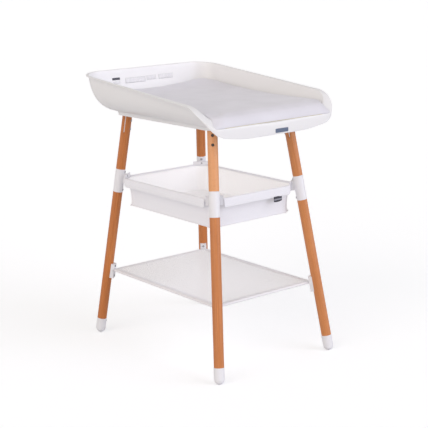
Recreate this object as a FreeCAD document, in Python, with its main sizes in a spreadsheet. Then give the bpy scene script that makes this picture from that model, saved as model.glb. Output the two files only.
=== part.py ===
"""Changing table: a moulded tub with a loose mat on four splayed beech legs,
with a hanging mesh basket at mid height and a stretched mesh shelf below.

Frame: millimetres, +Z up, origin on the floor at the middle of the four legs.
-Y is the low front of the tub, +Y its high back wall.
"""
import FreeCAD, Part
import math
import os

import Sketcher
from FreeCAD import Placement, Rotation, Vector

os.makedirs("parts", exist_ok=True)
doc = FreeCAD.newDocument("changing_table")

# ---------------------------------------------------------------- dimensions

SIZES = (
    # legs: axis at the floor and at the height where the legs meet the tub
    ("foot_x", 256.0), ("foot_y", 369.2), ("top_x", 168.3), ("top_y", 250.4),
    ("top_height", 849.0), ("leg_diameter", 35.5), ("leg_rise", 10.0),
    ("spigot_shoulder", 3.75), ("fit_gap", 0.15), ("hole_gap", 0.2),
    # foot caps and the sleeves that join the two halves of a leg
    ("cap_wrap", 0.75), ("cap_height", 57.7), ("cap_floor", 20.0), ("cap_edge", 1.0),
    ("cap_screw_drop", 8.5), ("sleeve_wrap", 0.5), ("sleeve_above", 37.0),
    ("sleeve_below", 50.0), ("sleeve_bolt_inset", 9.5),
    # tongues between the tub and the legs
    ("tongue_thickness", 3.0), ("tongue_inset", 1.25), ("tongue_reach", 80.0),
    ("tongue_plate_length", 52.0), ("tongue_plate_out", 8.0), ("tongue_plate_in", 22.0),
    ("tongue_bolt_drop", 20.5), ("tongue_bolt_spacing", 31.5),
    # tub: plan of the rim, and its heights above the tub's floor
    ("rim_x", 297.6), ("rim_y", 382.0), ("rim_front_radius", 69.0),
    ("rim_back_radius", 90.0), ("rim_back_rise", 131.0), ("rim_side_rise", 63.0),
    ("rim_curve_start", 97.0), ("rim_curve_end", 10.0), ("tub_wall", 4.0),
    ("flange_width", 8.6), ("flange_thickness", 4.0), ("lip_height", 44.0),
    ("bowl_front_radius", 60.0), ("bowl_back_radius", 84.0), ("floor_ledge", 2.0),
    ("bowl_over", 13.1),
    # under frame
    ("under_margin_x", 36.7), ("under_margin_y", 39.6), ("under_radius", 45.0),
    ("under_wall", 10.0), ("under_height", 17.0), ("under_step", 2.0),
    ("under_step_height", 9.0),
    # mat
    ("mat_gap", 6.0), ("mat_lift", 0.6), ("mat_thickness", 48.0),
    ("mat_overhang", 4.2),
    # basket: its rails' place beside the legs, at the basket's height
    ("basket_height", 608.0), ("basket_out_x", 1.8), ("basket_in_y", 8.1),
    ("basket_rail_diameter", 10.0), ("basket_rail_wall", 1.5), ("basket_depth", 96.0),
    ("basket_taper_x", 9.5), ("basket_taper_y", 15.2), ("corner_taper", 13.3),
    ("fabric_thickness", 1.2), ("fabric_gap", 0.3), ("flap_height", 32.0),
    ("flap_end_gap", 4.0), ("corner_gap", 2.4), ("bracket_gap", 12.25),
    ("bracket_thickness", 3.0), ("bracket_height", 34.0), ("bracket_margin", 7.0),
    ("bracket_arm_width", 14.0),
    ("rivet_spacing", 20.0), ("base_thickness", 3.0), ("base_gap", 1.2),
    ("tag_width", 38.0), ("tag_height", 20.0), ("tag_overlap", 3.0),
    ("tag_centre", 90.0), ("tag_thickness", 0.8),
    # shelf
    ("shelf_height", 252.0), ("shelf_in_x", 1.5), ("shelf_in_y", 11.1),
    ("shelf_rail_diameter", 8.0), ("shelf_rail_wall", 1.2), ("shelf_bracket_length", 56.0),
    ("shelf_bracket_width", 24.0), ("shelf_bracket_depth", 9.25),
    ("shelf_bolt_spacing", 38.0), ("mesh_thickness", 1.2),
    # badge
    ("badge_width", 56.0), ("badge_height", 14.0), ("badge_thickness", 1.2),
    ("badge_centre", 25.0), ("badge_drop", 31.7), ("badge_radius", 2.0),
    # fasteners
    ("bolt_diameter", 6.0), ("bolt_head", 10.4), ("bolt_head_height", 3.0),
    ("bolt_recess", 5.75), ("nut_diameter", 10.0), ("nut_proud", 1.6), ("nut_floor", 2.0),
    ("nut_edge", 1.0), ("bolt_end_gap", 1.0),
    ("sleeve_bolt_diameter", 5.0), ("sleeve_bolt_head", 9.5), ("sleeve_bolt_depth", 14.0),
    ("button_height", 2.8), ("cap_screw_diameter", 3.0), ("cap_screw_head", 6.0),
    ("cap_screw_height", 1.4), ("cap_screw_depth", 10.0), ("rivet_diameter", 4.0),
    ("rivet_head", 7.0), ("rivet_head_height", 1.6), ("rivet_depth", 10.0),
    ("tub_screw_diameter", 4.0), ("tub_screw_head", 8.0), ("tub_screw_height", 2.0),
    ("tub_screw_bite", 3.0), ("tub_screw_spacing", 44.0),
)


class Size:
    """A number together with the sheet formula that gives it."""

    def __init__(self, value, text):
        self.value = float(value)
        self.text = text

    def join(self, other, sign, value):
        return Size(value, "(%s %s %s)" % (self.text, sign, other.text))

    def __add__(self, other):
        other = size(other)
        return self.join(other, "+", self.value + other.value)

    def __sub__(self, other):
        other = size(other)
        return self.join(other, "-", self.value - other.value)

    def __mul__(self, other):
        other = size(other)
        return self.join(other, "*", self.value * other.value)

    def __truediv__(self, other):
        other = size(other)
        return self.join(other, "/", self.value / other.value)

    def __neg__(self):
        return Size(-self.value, "(-1 * %s)" % self.text)

    def __radd__(self, other):
        return size(other) + self

    def __rsub__(self, other):
        return size(other) - self

    def __rmul__(self, other):
        return size(other) * self


def size(number):
    return number if isinstance(number, Size) else Size(number, repr(float(number)))


def root(number):
    return Size(math.sqrt(number.value), "sqrt(%s)" % number.text)


sheet = doc.addObject("Spreadsheet::Sheet", "Sizes")
for row, (alias, number) in enumerate(SIZES, start=1):
    sheet.set("A%d" % row, alias)
    sheet.set("B%d" % row, str(number))
    sheet.setAlias("B%d" % row, alias)
doc.recompute()


class Dimensions:
    """The sheet's cells by name."""

    def __getattr__(self, name):
        return Size(getattr(sheet, name), "Sizes." + name)


dim = Dimensions()
spare = size(60)  # how far cutting shapes run past what they cut

# ---------------------------------------------------------- modelling helpers

nodes = {}


def keep(label, item):
    """Registers the object as a sub-part of the table."""
    item.Label = label
    nodes[label] = item
    return item


def new_body(label):
    return doc.addObject("PartDesign::Body", label)


def origin_plane(body, role):
    return [item for item in body.Origin.OriginFeatures if item.Role == role][0]


def pin_point(sketch, index, position, x, y):
    """Fixes one end of a sketch line at a place that follows the sheet."""
    for kind, value in (("DistanceX", x), ("DistanceY", y)):
        constraint = sketch.addConstraint(
            Sketcher.Constraint(kind, -1, 1, index, position, value.value))
        sketch.setExpression("Constraints[%d]" % constraint, value.text)


def draw_outline(sketch, corners):
    """Closed outline through (x, y) corners; a third entry is the radius of the
    arc that leads to that corner, positive where the arc turns left."""
    spots = [(size(corner[0]), size(corner[1])) for corner in corners]
    count = len(corners)
    for index in range(count):
        target = (index + 1) % count
        start = Vector(spots[index][0].value, spots[index][1].value, 0)
        end = Vector(spots[target][0].value, spots[target][1].value, 0)
        if len(corners[target]) == 2:
            sketch.addGeometry(Part.LineSegment(start, end), False)
            pin_point(sketch, index, 1, *spots[index])
            continue
        bend = size(corners[target][2])
        radius = abs(bend.value)
        chord = end - start
        height = math.sqrt(max(radius ** 2 - (chord.Length / 2) ** 2, 0.0))
        left = Vector(-chord.y, chord.x, 0).normalize()
        side = 1 if bend.value > 0 else -1
        centre = (start + end) / 2 + left * height * side
        first = math.atan2(start.y - centre.y, start.x - centre.x)
        last = math.atan2(end.y - centre.y, end.x - centre.x)
        if side < 0:
            first, last = last, first
        circle = Part.Circle(centre, Vector(0, 0, 1), radius)
        sketch.addGeometry(Part.ArcOfCircle(circle, first, last), False)
        pin_point(sketch, index, 1 if side > 0 else 2, *spots[index])
        constraint = sketch.addConstraint(Sketcher.Constraint("Radius", index, radius))
        text = bend.text if side > 0 else (-bend).text
        sketch.setExpression("Constraints[%d]" % constraint, text)
    for index in range(count):
        target = (index + 1) % count
        this_end = 1 if len(corners[target]) == 3 and size(corners[target][2]).value < 0 else 2
        after = corners[(target + 1) % count]
        next_start = 2 if len(after) == 3 and size(after[2]).value < 0 else 1
        sketch.addConstraint(
            Sketcher.Constraint("Coincident", index, this_end, target, next_start))


def draw_circles(sketch, circles):
    """Circles given as (x, y, diameter)."""
    for x, y, diameter in circles:
        x, y, diameter = size(x), size(y), size(diameter)
        index = sketch.addGeometry(
            Part.Circle(Vector(x.value, y.value, 0), Vector(0, 0, 1), diameter.value / 2), False)
        pin_point(sketch, index, 3, x, y)
        constraint = sketch.addConstraint(
            Sketcher.Constraint("Diameter", index, diameter.value))
        sketch.setExpression("Constraints[%d]" % constraint, diameter.text)


def new_sketch(body, name, role, offset=None):
    sketch = body.newObject("Sketcher::SketchObject", name)
    sketch.AttachmentSupport = [(origin_plane(body, role), "")]
    sketch.MapMode = "FlatFace"
    if offset is not None:
        sketch.AttachmentOffset = Placement(Vector(0, 0, offset.value), Rotation())
        sketch.setExpression("AttachmentOffset.Base.z", offset.text)
    return sketch


def free_sketch(name, height=None):
    """A sketch outside any body, level at a height, or upright across X."""
    sketch = doc.addObject("Sketcher::SketchObject", name)
    if height is None:
        sketch.Placement = Placement(Vector(), Rotation(Vector(1, 1, 1), 120))
    else:
        sketch.Placement = Placement(Vector(0, 0, height.value), Rotation())
        sketch.setExpression("Placement.Base.z", height.text)
    return sketch


def feature(body, kind, sketch, length=None, **settings):
    """Pad, Pocket or Revolution of a sketch, with its length from the sheet."""
    item = body.newObject("PartDesign::" + kind, sketch.Name + "_" + kind.lower())
    item.Profile = sketch
    for name, value in settings.items():
        setattr(item, name, value)
    if length is not None:
        item.Length = length.value
        item.setExpression("Length", length.text)
    sketch.Visibility = False
    doc.recompute()
    return item


def turn(body, name, corners):
    """Solid of revolution about the body's own Z axis from an (r, z) outline."""
    sketch = new_sketch(body, name, "XZ_Plane")
    draw_outline(sketch, corners)
    item = body.newObject("PartDesign::Revolution", name + "_turned")
    item.Profile = sketch
    item.ReferenceAxis = (sketch, ["V_Axis"])
    item.Angle = 360
    doc.recompute()
    return item


def drill_across(body, name, holes, start=None, **settings):
    """Holes along the body's X axis, given as (y, z, diameter)."""
    sketch = new_sketch(body, name, "YZ_Plane", start)
    draw_circles(sketch, holes)
    before = body.Shape.Volume
    item = feature(body, "Pocket", sketch, Type="ThroughAll", **settings)
    if body.Shape.Volume >= before:
        raise RuntimeError(name + " removes nothing")
    return item


def block(name, length, width, height, place):
    """Part box that is centred in its length and width and stands on its place."""
    item = doc.addObject("Part::Box", name)
    for key, value in (("Length", length), ("Width", width), ("Height", height)):
        setattr(item, key, value.value)
        item.setExpression(key, value.text)
    item.Placement = place.multiply(
        Placement(Vector(-length.value / 2, -width.value / 2, 0), Rotation()))
    return item


def rod(name, diameter, length, place):
    item = doc.addObject("Part::Cylinder", name)
    item.Radius = diameter.value / 2
    item.Height = length.value
    item.setExpression("Radius", (diameter / 2).text)
    item.setExpression("Height", length.text)
    item.Placement = place
    return item


def cut(name, base, tool):
    item = doc.addObject("Part::Cut", name)
    item.Base = base
    item.Tool = tool
    return item


def fuse(name, items):
    item = doc.addObject("Part::MultiFuse", name)
    item.Shapes = items
    item.Refine = True
    return item


def common(name, items):
    item = doc.addObject("Part::MultiCommon", name)
    item.Shapes = items
    return item


def extrude(name, sketch, length, both_ways=False):
    item = doc.addObject("Part::Extrusion", name)
    item.Base = sketch
    item.DirMode = "Normal"
    item.Solid = True
    item.Symmetric = both_ways
    item.LengthFwd = length.value
    item.setExpression("LengthFwd", length.text)
    return item


def loft(name, sketches):
    item = doc.addObject("Part::Loft", name)
    item.Sections = sketches
    item.Solid = True
    item.Ruled = True
    return item


def mirrored(label, source, normal):
    item = doc.addObject("Part::Mirroring", label)
    item.Source = source
    item.Base = Vector()
    item.Normal = Vector(*normal)
    return keep(label, item)


def on_four_corners(name, master):
    """The master stands at the back right; the other three are its mirror images."""
    keep(name + "_back_right", master)
    mirrored(name + "_back_left", master, (1, 0, 0))
    front = mirrored(name + "_front_right", master, (0, 1, 0))
    mirrored(name + "_front_left", front, (1, 0, 0))


def group(label, master, places, mirror_corners=True):
    """Identical fasteners kept together: the master's shape at each place, at all
    four corners of the table."""
    solids = []
    for place in places:
        solid = master.Shape.copy()
        solid.Placement = place
        solids.append(solid)
    if mirror_corners:
        solids += [solid.mirror(Vector(), Vector(1, 0, 0)) for solid in solids]
        solids += [solid.mirror(Vector(), Vector(0, 1, 0)) for solid in solids]
    item = doc.addObject("Part::Feature", label)
    item.Shape = Part.makeCompound(solids)
    return keep(label, item)


# ----------------------------------------------------------------- leg frame
# The back right leg's own frame: Z along its axis from the floor up, X outwards
# away from the middle of the table, Y round the leg.

slope_x = (dim.foot_x - dim.top_x) / dim.top_height
slope_y = (dim.foot_y - dim.top_y) / dim.top_height
stretch = root(slope_x * slope_x + slope_y * slope_y + 1)


def along(height):
    """Distance along the leg's axis at a height above the floor."""
    return size(height) * stretch


axis_up = Vector(-slope_x.value, -slope_y.value, 1).normalize()
outwards = Vector(slope_x.value, slope_y.value, 0).normalize()
around = axis_up.cross(outwards).normalize()
leg_frame = Placement(
    Vector(dim.foot_x.value, dim.foot_y.value, 0),
    Rotation(around.cross(axis_up), around, axis_up, "ZXY"))
splay = math.degrees(math.atan2(outwards.y, outwards.x))


def axis_point(height):
    """Point of the back right leg's axis at a height."""
    return Vector(dim.foot_x.value - slope_x.value * height,
                  dim.foot_y.value - slope_y.value * height, height)


def level_frame(height):
    """Level frame on the leg's axis at a height, with X outwards."""
    return Placement(axis_point(height), Rotation(Vector(0, 0, 1), splay))


leg_r = dim.leg_diameter / 2
spigot_r = leg_r - dim.spigot_shoulder
sleeve_r = leg_r + dim.sleeve_wrap
cap_r = leg_r + dim.cap_wrap
sleeve_low = along(dim.basket_height - dim.sleeve_below)
sleeve_high = along(dim.basket_height + dim.sleeve_above)
joint = (sleeve_low + sleeve_high) / 2
leg_top = along(dim.top_height + dim.leg_rise)
tub_bottom = dim.top_height + dim.under_height
tub_floor = tub_bottom + dim.tub_wall
slot_floor = along(tub_bottom - dim.tongue_reach - dim.tongue_thickness)
bolt_seat = leg_r - dim.bolt_recess
bolt_hole = dim.bolt_diameter + dim.hole_gap
sleeve_bolt_hole = dim.sleeve_bolt_diameter + dim.hole_gap
sleeve_bolts_at = (sleeve_high - dim.sleeve_bolt_inset, sleeve_low + dim.sleeve_bolt_inset)
high_bolt = dim.top_height - dim.tongue_bolt_drop
tongue_bolts_at = (along(high_bolt), along(high_bolt - dim.tongue_bolt_spacing))
cap_screw_at = along(dim.cap_height) - dim.cap_screw_drop
under_x = dim.top_x + dim.under_margin_x
under_y = dim.top_y + dim.under_margin_y
out_x = slope_x / root(slope_x * slope_x + slope_y * slope_y)
out_y = slope_y / root(slope_x * slope_x + slope_y * slope_y)
standoff = leg_r + dim.bracket_gap
plate_face = standoff + dim.bracket_thickness / 2
basket_x = dim.foot_x - slope_x * dim.basket_height + dim.basket_out_x
basket_y = dim.foot_y - slope_y * dim.basket_height - dim.basket_in_y
shelf_x = dim.foot_x - slope_x * dim.shelf_height - leg_r * out_x - dim.shelf_in_x
shelf_y = dim.foot_y - slope_y * dim.shelf_height - leg_r * out_y - dim.shelf_in_y
shelf_reach = leg_r + dim.shelf_bracket_depth
shelf_bolts_at = (along(dim.shelf_height) + dim.shelf_bolt_spacing / 2,
                  along(dim.shelf_height) - dim.shelf_bolt_spacing / 2)


def hole_row(heights, diameter):
    return [(0, height, diameter) for height in heights]


def build_upper_leg():
    body = new_body("upper_leg")
    turn(body, "upper_leg_outline", [
        (0, joint), (spigot_r, joint), (spigot_r, sleeve_high),
        (leg_r, sleeve_high), (leg_r, leg_top), (0, leg_top)])
    slot = new_sketch(body, "upper_leg_slot", "XZ_Plane")
    half_slot = dim.tongue_thickness / 2 + dim.fit_gap
    draw_outline(slot, [(-half_slot, slot_floor), (half_slot, slot_floor),
                        (half_slot, leg_top + spare), (-half_slot, leg_top + spare)])
    feature(body, "Pocket", slot, Type="ThroughAll", Midplane=True)
    drill_across(body, "upper_leg_bolt_holes",
                 hole_row(tongue_bolts_at, bolt_hole), Midplane=True)
    drill_across(body, "upper_leg_head_recess",
                 hole_row(tongue_bolts_at, dim.bolt_head + dim.hole_gap),
                 start=bolt_seat, Reversed=True)
    drill_across(body, "upper_leg_nut_recess",
                 hole_row(tongue_bolts_at, dim.nut_diameter + dim.hole_gap),
                 start=-bolt_seat)
    drill_across(body, "upper_leg_sleeve_hole",
                 hole_row(sleeve_bolts_at[:1], sleeve_bolt_hole),
                 start=dim.sleeve_bolt_depth + dim.hole_gap - sleeve_r)
    body.Placement = leg_frame
    on_four_corners("upper_leg", body)


def build_lower_leg():
    body = new_body("lower_leg")
    foot_end = along(dim.cap_floor)
    turn(body, "lower_leg_outline", [
        (0, foot_end), (spigot_r, foot_end), (spigot_r, along(dim.cap_height)),
        (leg_r, along(dim.cap_height)), (leg_r, sleeve_low),
        (spigot_r, sleeve_low), (spigot_r, joint), (0, joint)])
    drill_across(body, "lower_leg_sleeve_hole",
                 hole_row(sleeve_bolts_at[1:], sleeve_bolt_hole),
                 start=dim.sleeve_bolt_depth + dim.hole_gap - sleeve_r)
    drill_across(body, "lower_leg_cap_hole",
                 hole_row([cap_screw_at], dim.cap_screw_diameter + dim.hole_gap),
                 start=-spigot_r / 2)
    drill_across(body, "lower_leg_shelf_holes",
                 hole_row(shelf_bolts_at, sleeve_bolt_hole), start=-spigot_r / 2)
    body.Placement = leg_frame
    on_four_corners("lower_leg", body)


def build_leg_sleeve():
    body = new_body("leg_sleeve")
    inner = spigot_r + dim.fit_gap
    outer = sleeve_r
    low = sleeve_low
    high = sleeve_high
    edge = (outer - inner) / 4
    turn(body, "leg_sleeve_outline", [
        (inner, low), (outer - edge, low), (outer, low + edge), (outer, high - edge),
        (outer - edge, high), (inner, high)])
    drill_across(body, "leg_sleeve_holes",
                 hole_row(sleeve_bolts_at, sleeve_bolt_hole))
    body.Placement = leg_frame
    on_four_corners("leg_sleeve", body)


def build_foot_cap():
    body = new_body("foot_cap")
    outer = cap_r
    inner = spigot_r + dim.fit_gap
    centre = along(outer)
    high = along(dim.cap_height)
    floor = along(dim.cap_floor) - dim.fit_gap
    edge = dim.cap_edge
    turn(body, "foot_cap_outline", [
        (0, centre - outer), (outer, centre, outer), (outer, high - edge),
        (outer - edge, high), (inner, high), (inner, floor), (0, floor)])
    drill_across(body, "foot_cap_hole",
                 hole_row([cap_screw_at], dim.cap_screw_diameter + dim.hole_gap))
    body.Placement = leg_frame
    on_four_corners("foot_cap", body)


def build_leg_tongue():
    """Steel plate under the tub's floor with a tongue down into the leg's slot."""
    under_floor = tub_bottom
    plate_low = under_floor - dim.tongue_thickness
    level = level_frame(plate_low.value)
    middle = (dim.tongue_plate_out - dim.tongue_plate_in) / 2
    plate = block("tongue_plate", dim.tongue_plate_out + dim.tongue_plate_in,
                  dim.tongue_plate_length, dim.tongue_thickness,
                  level.multiply(Placement(Vector(middle.value, 0, 0), Rotation())))
    reach = dim.tongue_reach * stretch
    low_end = along(under_floor - dim.tongue_thickness / 2) - reach
    strip = block("tongue_strip", dim.tongue_thickness,
                  dim.leg_diameter - dim.tongue_inset * 2, reach,
                  leg_frame.multiply(Placement(Vector(0, 0, low_end.value), Rotation())))
    joined = fuse("tongue_blank", [plate, strip])
    holes = []
    across = Rotation(Vector(0, 1, 0), 90)
    for number, height in enumerate(tongue_bolts_at):
        place = leg_frame.multiply(Placement(Vector(-leg_r.value, 0, height.value), across))
        holes.append(rod("tongue_hole_%d" % number, bolt_hole, leg_r * 2, place))
    below = Vector(0, 0, -dim.tongue_thickness.value)
    for number, place in enumerate(tub_screw_places()):
        holes.append(rod("tongue_screw_hole_%d" % number,
                         dim.tub_screw_diameter + dim.hole_gap, dim.tongue_thickness * 3,
                         place.multiply(Placement(below, Rotation()))))
    tongue = cut("leg_tongue", joined, fuse("tongue_holes", holes))
    on_four_corners("leg_tongue", tongue)


def tub_screw_places():
    """Undersides of the back right plate where its two screws go up into the tub."""
    under_floor = tub_bottom
    level = level_frame((under_floor - dim.tongue_thickness).value)
    inset = -(dim.tongue_plate_in.value - dim.tongue_plate_out.value) / 2
    half = dim.tub_screw_spacing.value / 2
    return [level.multiply(Placement(Vector(inset, side * half, 0), Rotation()))
            for side in (-1, 1)]


# ----------------------------------------------------------------------- tub

def rounded_box(sketch, half_x, front, back, front_radius, back_radius):
    """Outline that is symmetric about Y, with its own radii at front and back."""
    draw_outline(sketch, [
        (half_x, -(front - front_radius)),
        (half_x, back - back_radius),
        (half_x - back_radius, back, back_radius),
        (-(half_x - back_radius), back),
        (-half_x, back - back_radius, back_radius),
        (-half_x, -(front - front_radius)),
        (-(half_x - front_radius), -front, front_radius),
        (half_x - front_radius, -front),
        (half_x, -(front - front_radius), front_radius)][1:])


# Wall curves from the floor up: share of the height, share of the pull inwards.
BOWL_CURVE = ((0.0, 1.0), (0.06, 0.63), (0.17, 0.36), (0.40, 0.13), (1.0, 0.0))
MAT_CURVE = ((0.0, 0.97), (0.18, 0.58), (0.46, 0.34), (1.0, 0.16))

# How far the bowl's walls come in from the rim to the floor at the sides and back.
bowl_pull_x = dim.rim_x - dim.flange_width - under_x - dim.floor_ledge
bowl_pull_y = dim.rim_y - dim.flange_width - under_y - dim.floor_ledge


def bowl_top(inset):
    """Half width, back and front of the bowl at its top, inset from its outside."""
    return (dim.rim_x - dim.flange_width - inset,
            dim.rim_y - dim.flange_width - inset,
            dim.rim_y - dim.flange_width - inset)


def bowl_sections(name, inset, floor, ceiling):
    """Level sections of the bowl: the walls curve in towards the floor at the
    sides and the back, and stand upright at the front."""
    wide, deep, front = bowl_top(inset)
    sketches = []
    for number, (rise, pull) in enumerate(BOWL_CURVE):
        height = floor + (ceiling - floor) * rise
        sketch = free_sketch("%s_section_%d" % (name, number), height)
        rounded_box(sketch, wide - bowl_pull_x * pull, front, deep - bowl_pull_y * pull,
                    dim.bowl_front_radius - inset, dim.bowl_back_radius - inset)
        sketches.append(sketch)
    return sketches


def rim_outline(sketch, offset):
    """Region above the rim's side view, lowered by offset: a straight slope from
    the back, then an S-curve of two arcs down to the front."""
    run = dim.rim_curve_start - dim.rim_curve_end
    drop = dim.rim_side_rise
    bend = (run * run + drop * drop) / (drop * 4)
    share = (bend - offset) / bend
    start = dim.rim_curve_start - dim.rim_y
    end = dim.rim_curve_end - dim.rim_y
    side_top = tub_floor + drop
    back_top = tub_floor + dim.rim_back_rise
    slope = (back_top - side_top) / (dim.rim_y - start)
    sky = back_top + spare
    wide = dim.rim_y + spare
    draw_outline(sketch, [
        (wide, sky), (-wide, sky), (-wide, tub_floor - offset), (end, tub_floor - offset),
        (start - run / 2 * share, side_top - bend + (bend - drop / 2) * share, bend + offset),
        (start, side_top - offset, -(bend - offset)),
        (wide, back_top + slope * spare - offset)])


def build_tub():
    ceiling = tub_floor + dim.rim_back_rise + dim.bowl_over
    outside = loft("bowl_outside", bowl_sections(
        "outside", size(0), tub_bottom, ceiling))
    inside = loft("bowl_inside", bowl_sections(
        "inside", dim.tub_wall, tub_floor, ceiling + dim.tub_wall))
    wall = cut("bowl_wall", outside, inside)

    rim_sketch = free_sketch("rim_side_view")
    rim_outline(rim_sketch, size(0))
    above = extrude("above_rim", rim_sketch, (dim.rim_x + spare) * 2, both_ways=True)
    low_sketch = free_sketch("flange_side_view")
    rim_outline(low_sketch, dim.flange_thickness)
    above_flange = extrude("above_flange", low_sketch, (dim.rim_x + spare) * 2, both_ways=True)
    band = cut("flange_band", above_flange, above)

    plan_sketch = free_sketch("rim_plan", tub_floor - dim.lip_height)
    rounded_box(plan_sketch, dim.rim_x, dim.rim_y, dim.rim_y,
                dim.rim_front_radius, dim.rim_back_radius)
    plan = extrude("rim_prism", plan_sketch, dim.rim_back_rise + spare * 2)
    flange = cut("flange", common("flange_blank", [band, plan]), inside)

    core_sketch = free_sketch("lip_core", tub_floor - dim.lip_height - spare)
    thin = dim.flange_thickness
    rounded_box(core_sketch, dim.rim_x - thin, dim.rim_y - thin, dim.rim_y - thin,
                dim.rim_front_radius - thin, dim.rim_back_radius - thin)
    core = extrude("lip_core_prism", core_sketch, dim.rim_back_rise + spare * 3)
    trim_sketch = free_sketch("lip_side_view")
    lip_low = tub_floor - dim.lip_height
    corner_back = dim.rim_y - dim.rim_front_radius
    side_top = tub_floor + dim.rim_side_rise
    past = thin / 2
    draw_outline(trim_sketch, [
        (-dim.rim_y - past, lip_low - past), (-dim.rim_y + thin, lip_low - past),
        (-corner_back, side_top - thin * 3), (-corner_back, side_top),
        (-dim.rim_y - past, side_top)])
    trim = extrude("lip_region", trim_sketch, (dim.rim_x + spare) * 2, both_ways=True)
    ring = cut("lip_ring", plan, core)
    lip = cut("lip", common("lip_blank", [ring, trim]), above)

    solid = fuse("tub_joined", [cut("bowl", wall, above), flange, lip])
    holes = []
    for number, place in enumerate(corner_places(tub_screw_places())):
        holes.append(rod("tub_pilot_%d" % number, dim.tub_screw_diameter + dim.hole_gap,
                         dim.tongue_thickness + dim.tub_screw_bite, place))
    keep("tub_shell", cut("tub_shell", solid, fuse("tub_pilots", holes)))


def corner_places(places):
    """Level places of the back right corner repeated at the other three."""
    spots = []
    for place in places:
        for side_x in (1, -1):
            for side_y in (1, -1):
                base = place.Base
                spots.append(Placement(
                    Vector(base.x * side_x, base.y * side_y, base.z), Rotation()))
    return spots


def build_under_frame():
    """Ring under the tub that hides the leg tops, with a step in its outside."""
    body = new_body("under_frame")
    under_floor = tub_bottom
    low = dim.top_height
    rise = under_floor - low
    lower = new_sketch(body, "under_ring", "XY_Plane", low)
    step = dim.under_step
    rounded_box(lower, under_x - step, under_y - step, under_y - step,
                dim.under_radius - step, dim.under_radius - step)
    feature(body, "Pad", lower, dim.under_step_height)
    upper = new_sketch(body, "under_ring_top", "XY_Plane", low + dim.under_step_height)
    rounded_box(upper, under_x, under_y, under_y,
                dim.under_radius, dim.under_radius)
    feature(body, "Pad", upper, rise - dim.under_step_height)
    opening = new_sketch(body, "under_opening", "XY_Plane", under_floor)
    wall = dim.under_wall
    rounded_box(opening, under_x - wall, under_y - wall, under_y - wall,
                dim.under_radius - wall, dim.under_radius - wall)
    before = body.Shape.Volume
    feature(body, "Pocket", opening, Type="ThroughAll")
    if body.Shape.Volume >= before:
        raise RuntimeError("the under frame has no opening")
    keep("under_frame", body)


def build_mat():
    """Loose padded mat: follows the bowl's walls with a gap, and stops level with
    the low front edge."""
    inset = dim.tub_wall + dim.mat_gap
    wide, deep, front = bowl_top(inset)
    low = tub_floor + dim.mat_lift
    sketches = []
    for number, (rise, pull) in enumerate(MAT_CURVE):
        sketch = free_sketch("mat_section_%d" % number, low + dim.mat_thickness * rise)
        rounded_box(sketch, wide - bowl_pull_x * pull, front + dim.mat_overhang,
                    deep - bowl_pull_y * pull,
                    dim.bowl_front_radius - dim.tub_wall, dim.bowl_back_radius - dim.tub_wall)
        sketches.append(sketch)
    keep("changing_mat", loft("changing_mat", sketches))


def build_badge():
    body = new_body("badge_plate")
    sketch = new_sketch(body, "badge_outline", "XZ_Plane", dim.rim_y)
    half_w = dim.badge_width / 2
    half_h = dim.badge_height / 2
    middle = tub_floor - dim.badge_drop
    left = dim.badge_centre - half_w
    right = dim.badge_centre + half_w
    low = middle - half_h
    high = middle + half_h
    rounding = dim.badge_radius
    draw_outline(sketch, [
        (left + rounding, low), (right - rounding, low),
        (right, low + rounding, rounding), (right, high - rounding),
        (right - rounding, high, rounding), (left + rounding, high),
        (left, high - rounding, rounding), (left, low + rounding),
        (left + rounding, low, rounding)][1:])
    feature(body, "Pad", sketch, dim.badge_thickness)
    keep("badge_plate", body)


# -------------------------------------------------------------------- basket

def corner_cutter(name, reach, low, height):
    """Level block that stands on the leg's side of a plane across the corner, at
    a distance inwards from the leg's axis at the basket's height."""
    place = Placement(axis_point(dim.basket_height.value), Rotation(Vector(0, 0, 1), splay))
    base = place.multVec(Vector((spare - reach).value, 0, 0))
    base.z = low.value
    return block(name, spare * 2, spare * 3, height,
                 Placement(base, Rotation(Vector(0, 0, 1), splay)))


def four_way(name, master):
    """A cutting tool repeated at all four corners."""
    items = [master]
    for label, source, normal in ((name + "_x", 0, (1, 0, 0)), (name + "_y", 0, (0, 1, 0)),
                                  (name + "_xy", 1, (0, 1, 0))):
        item = doc.addObject("Part::Mirroring", label)
        item.Source = items[source]
        item.Normal = Vector(*normal)
        items.append(item)
    return fuse(name, items)


def tube(name, diameter, wall, length, place):
    bore = rod(name + "_bore", diameter - wall * 2, length, place)
    return cut(name, rod(name + "_outside", diameter, length, place), bore)


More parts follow.
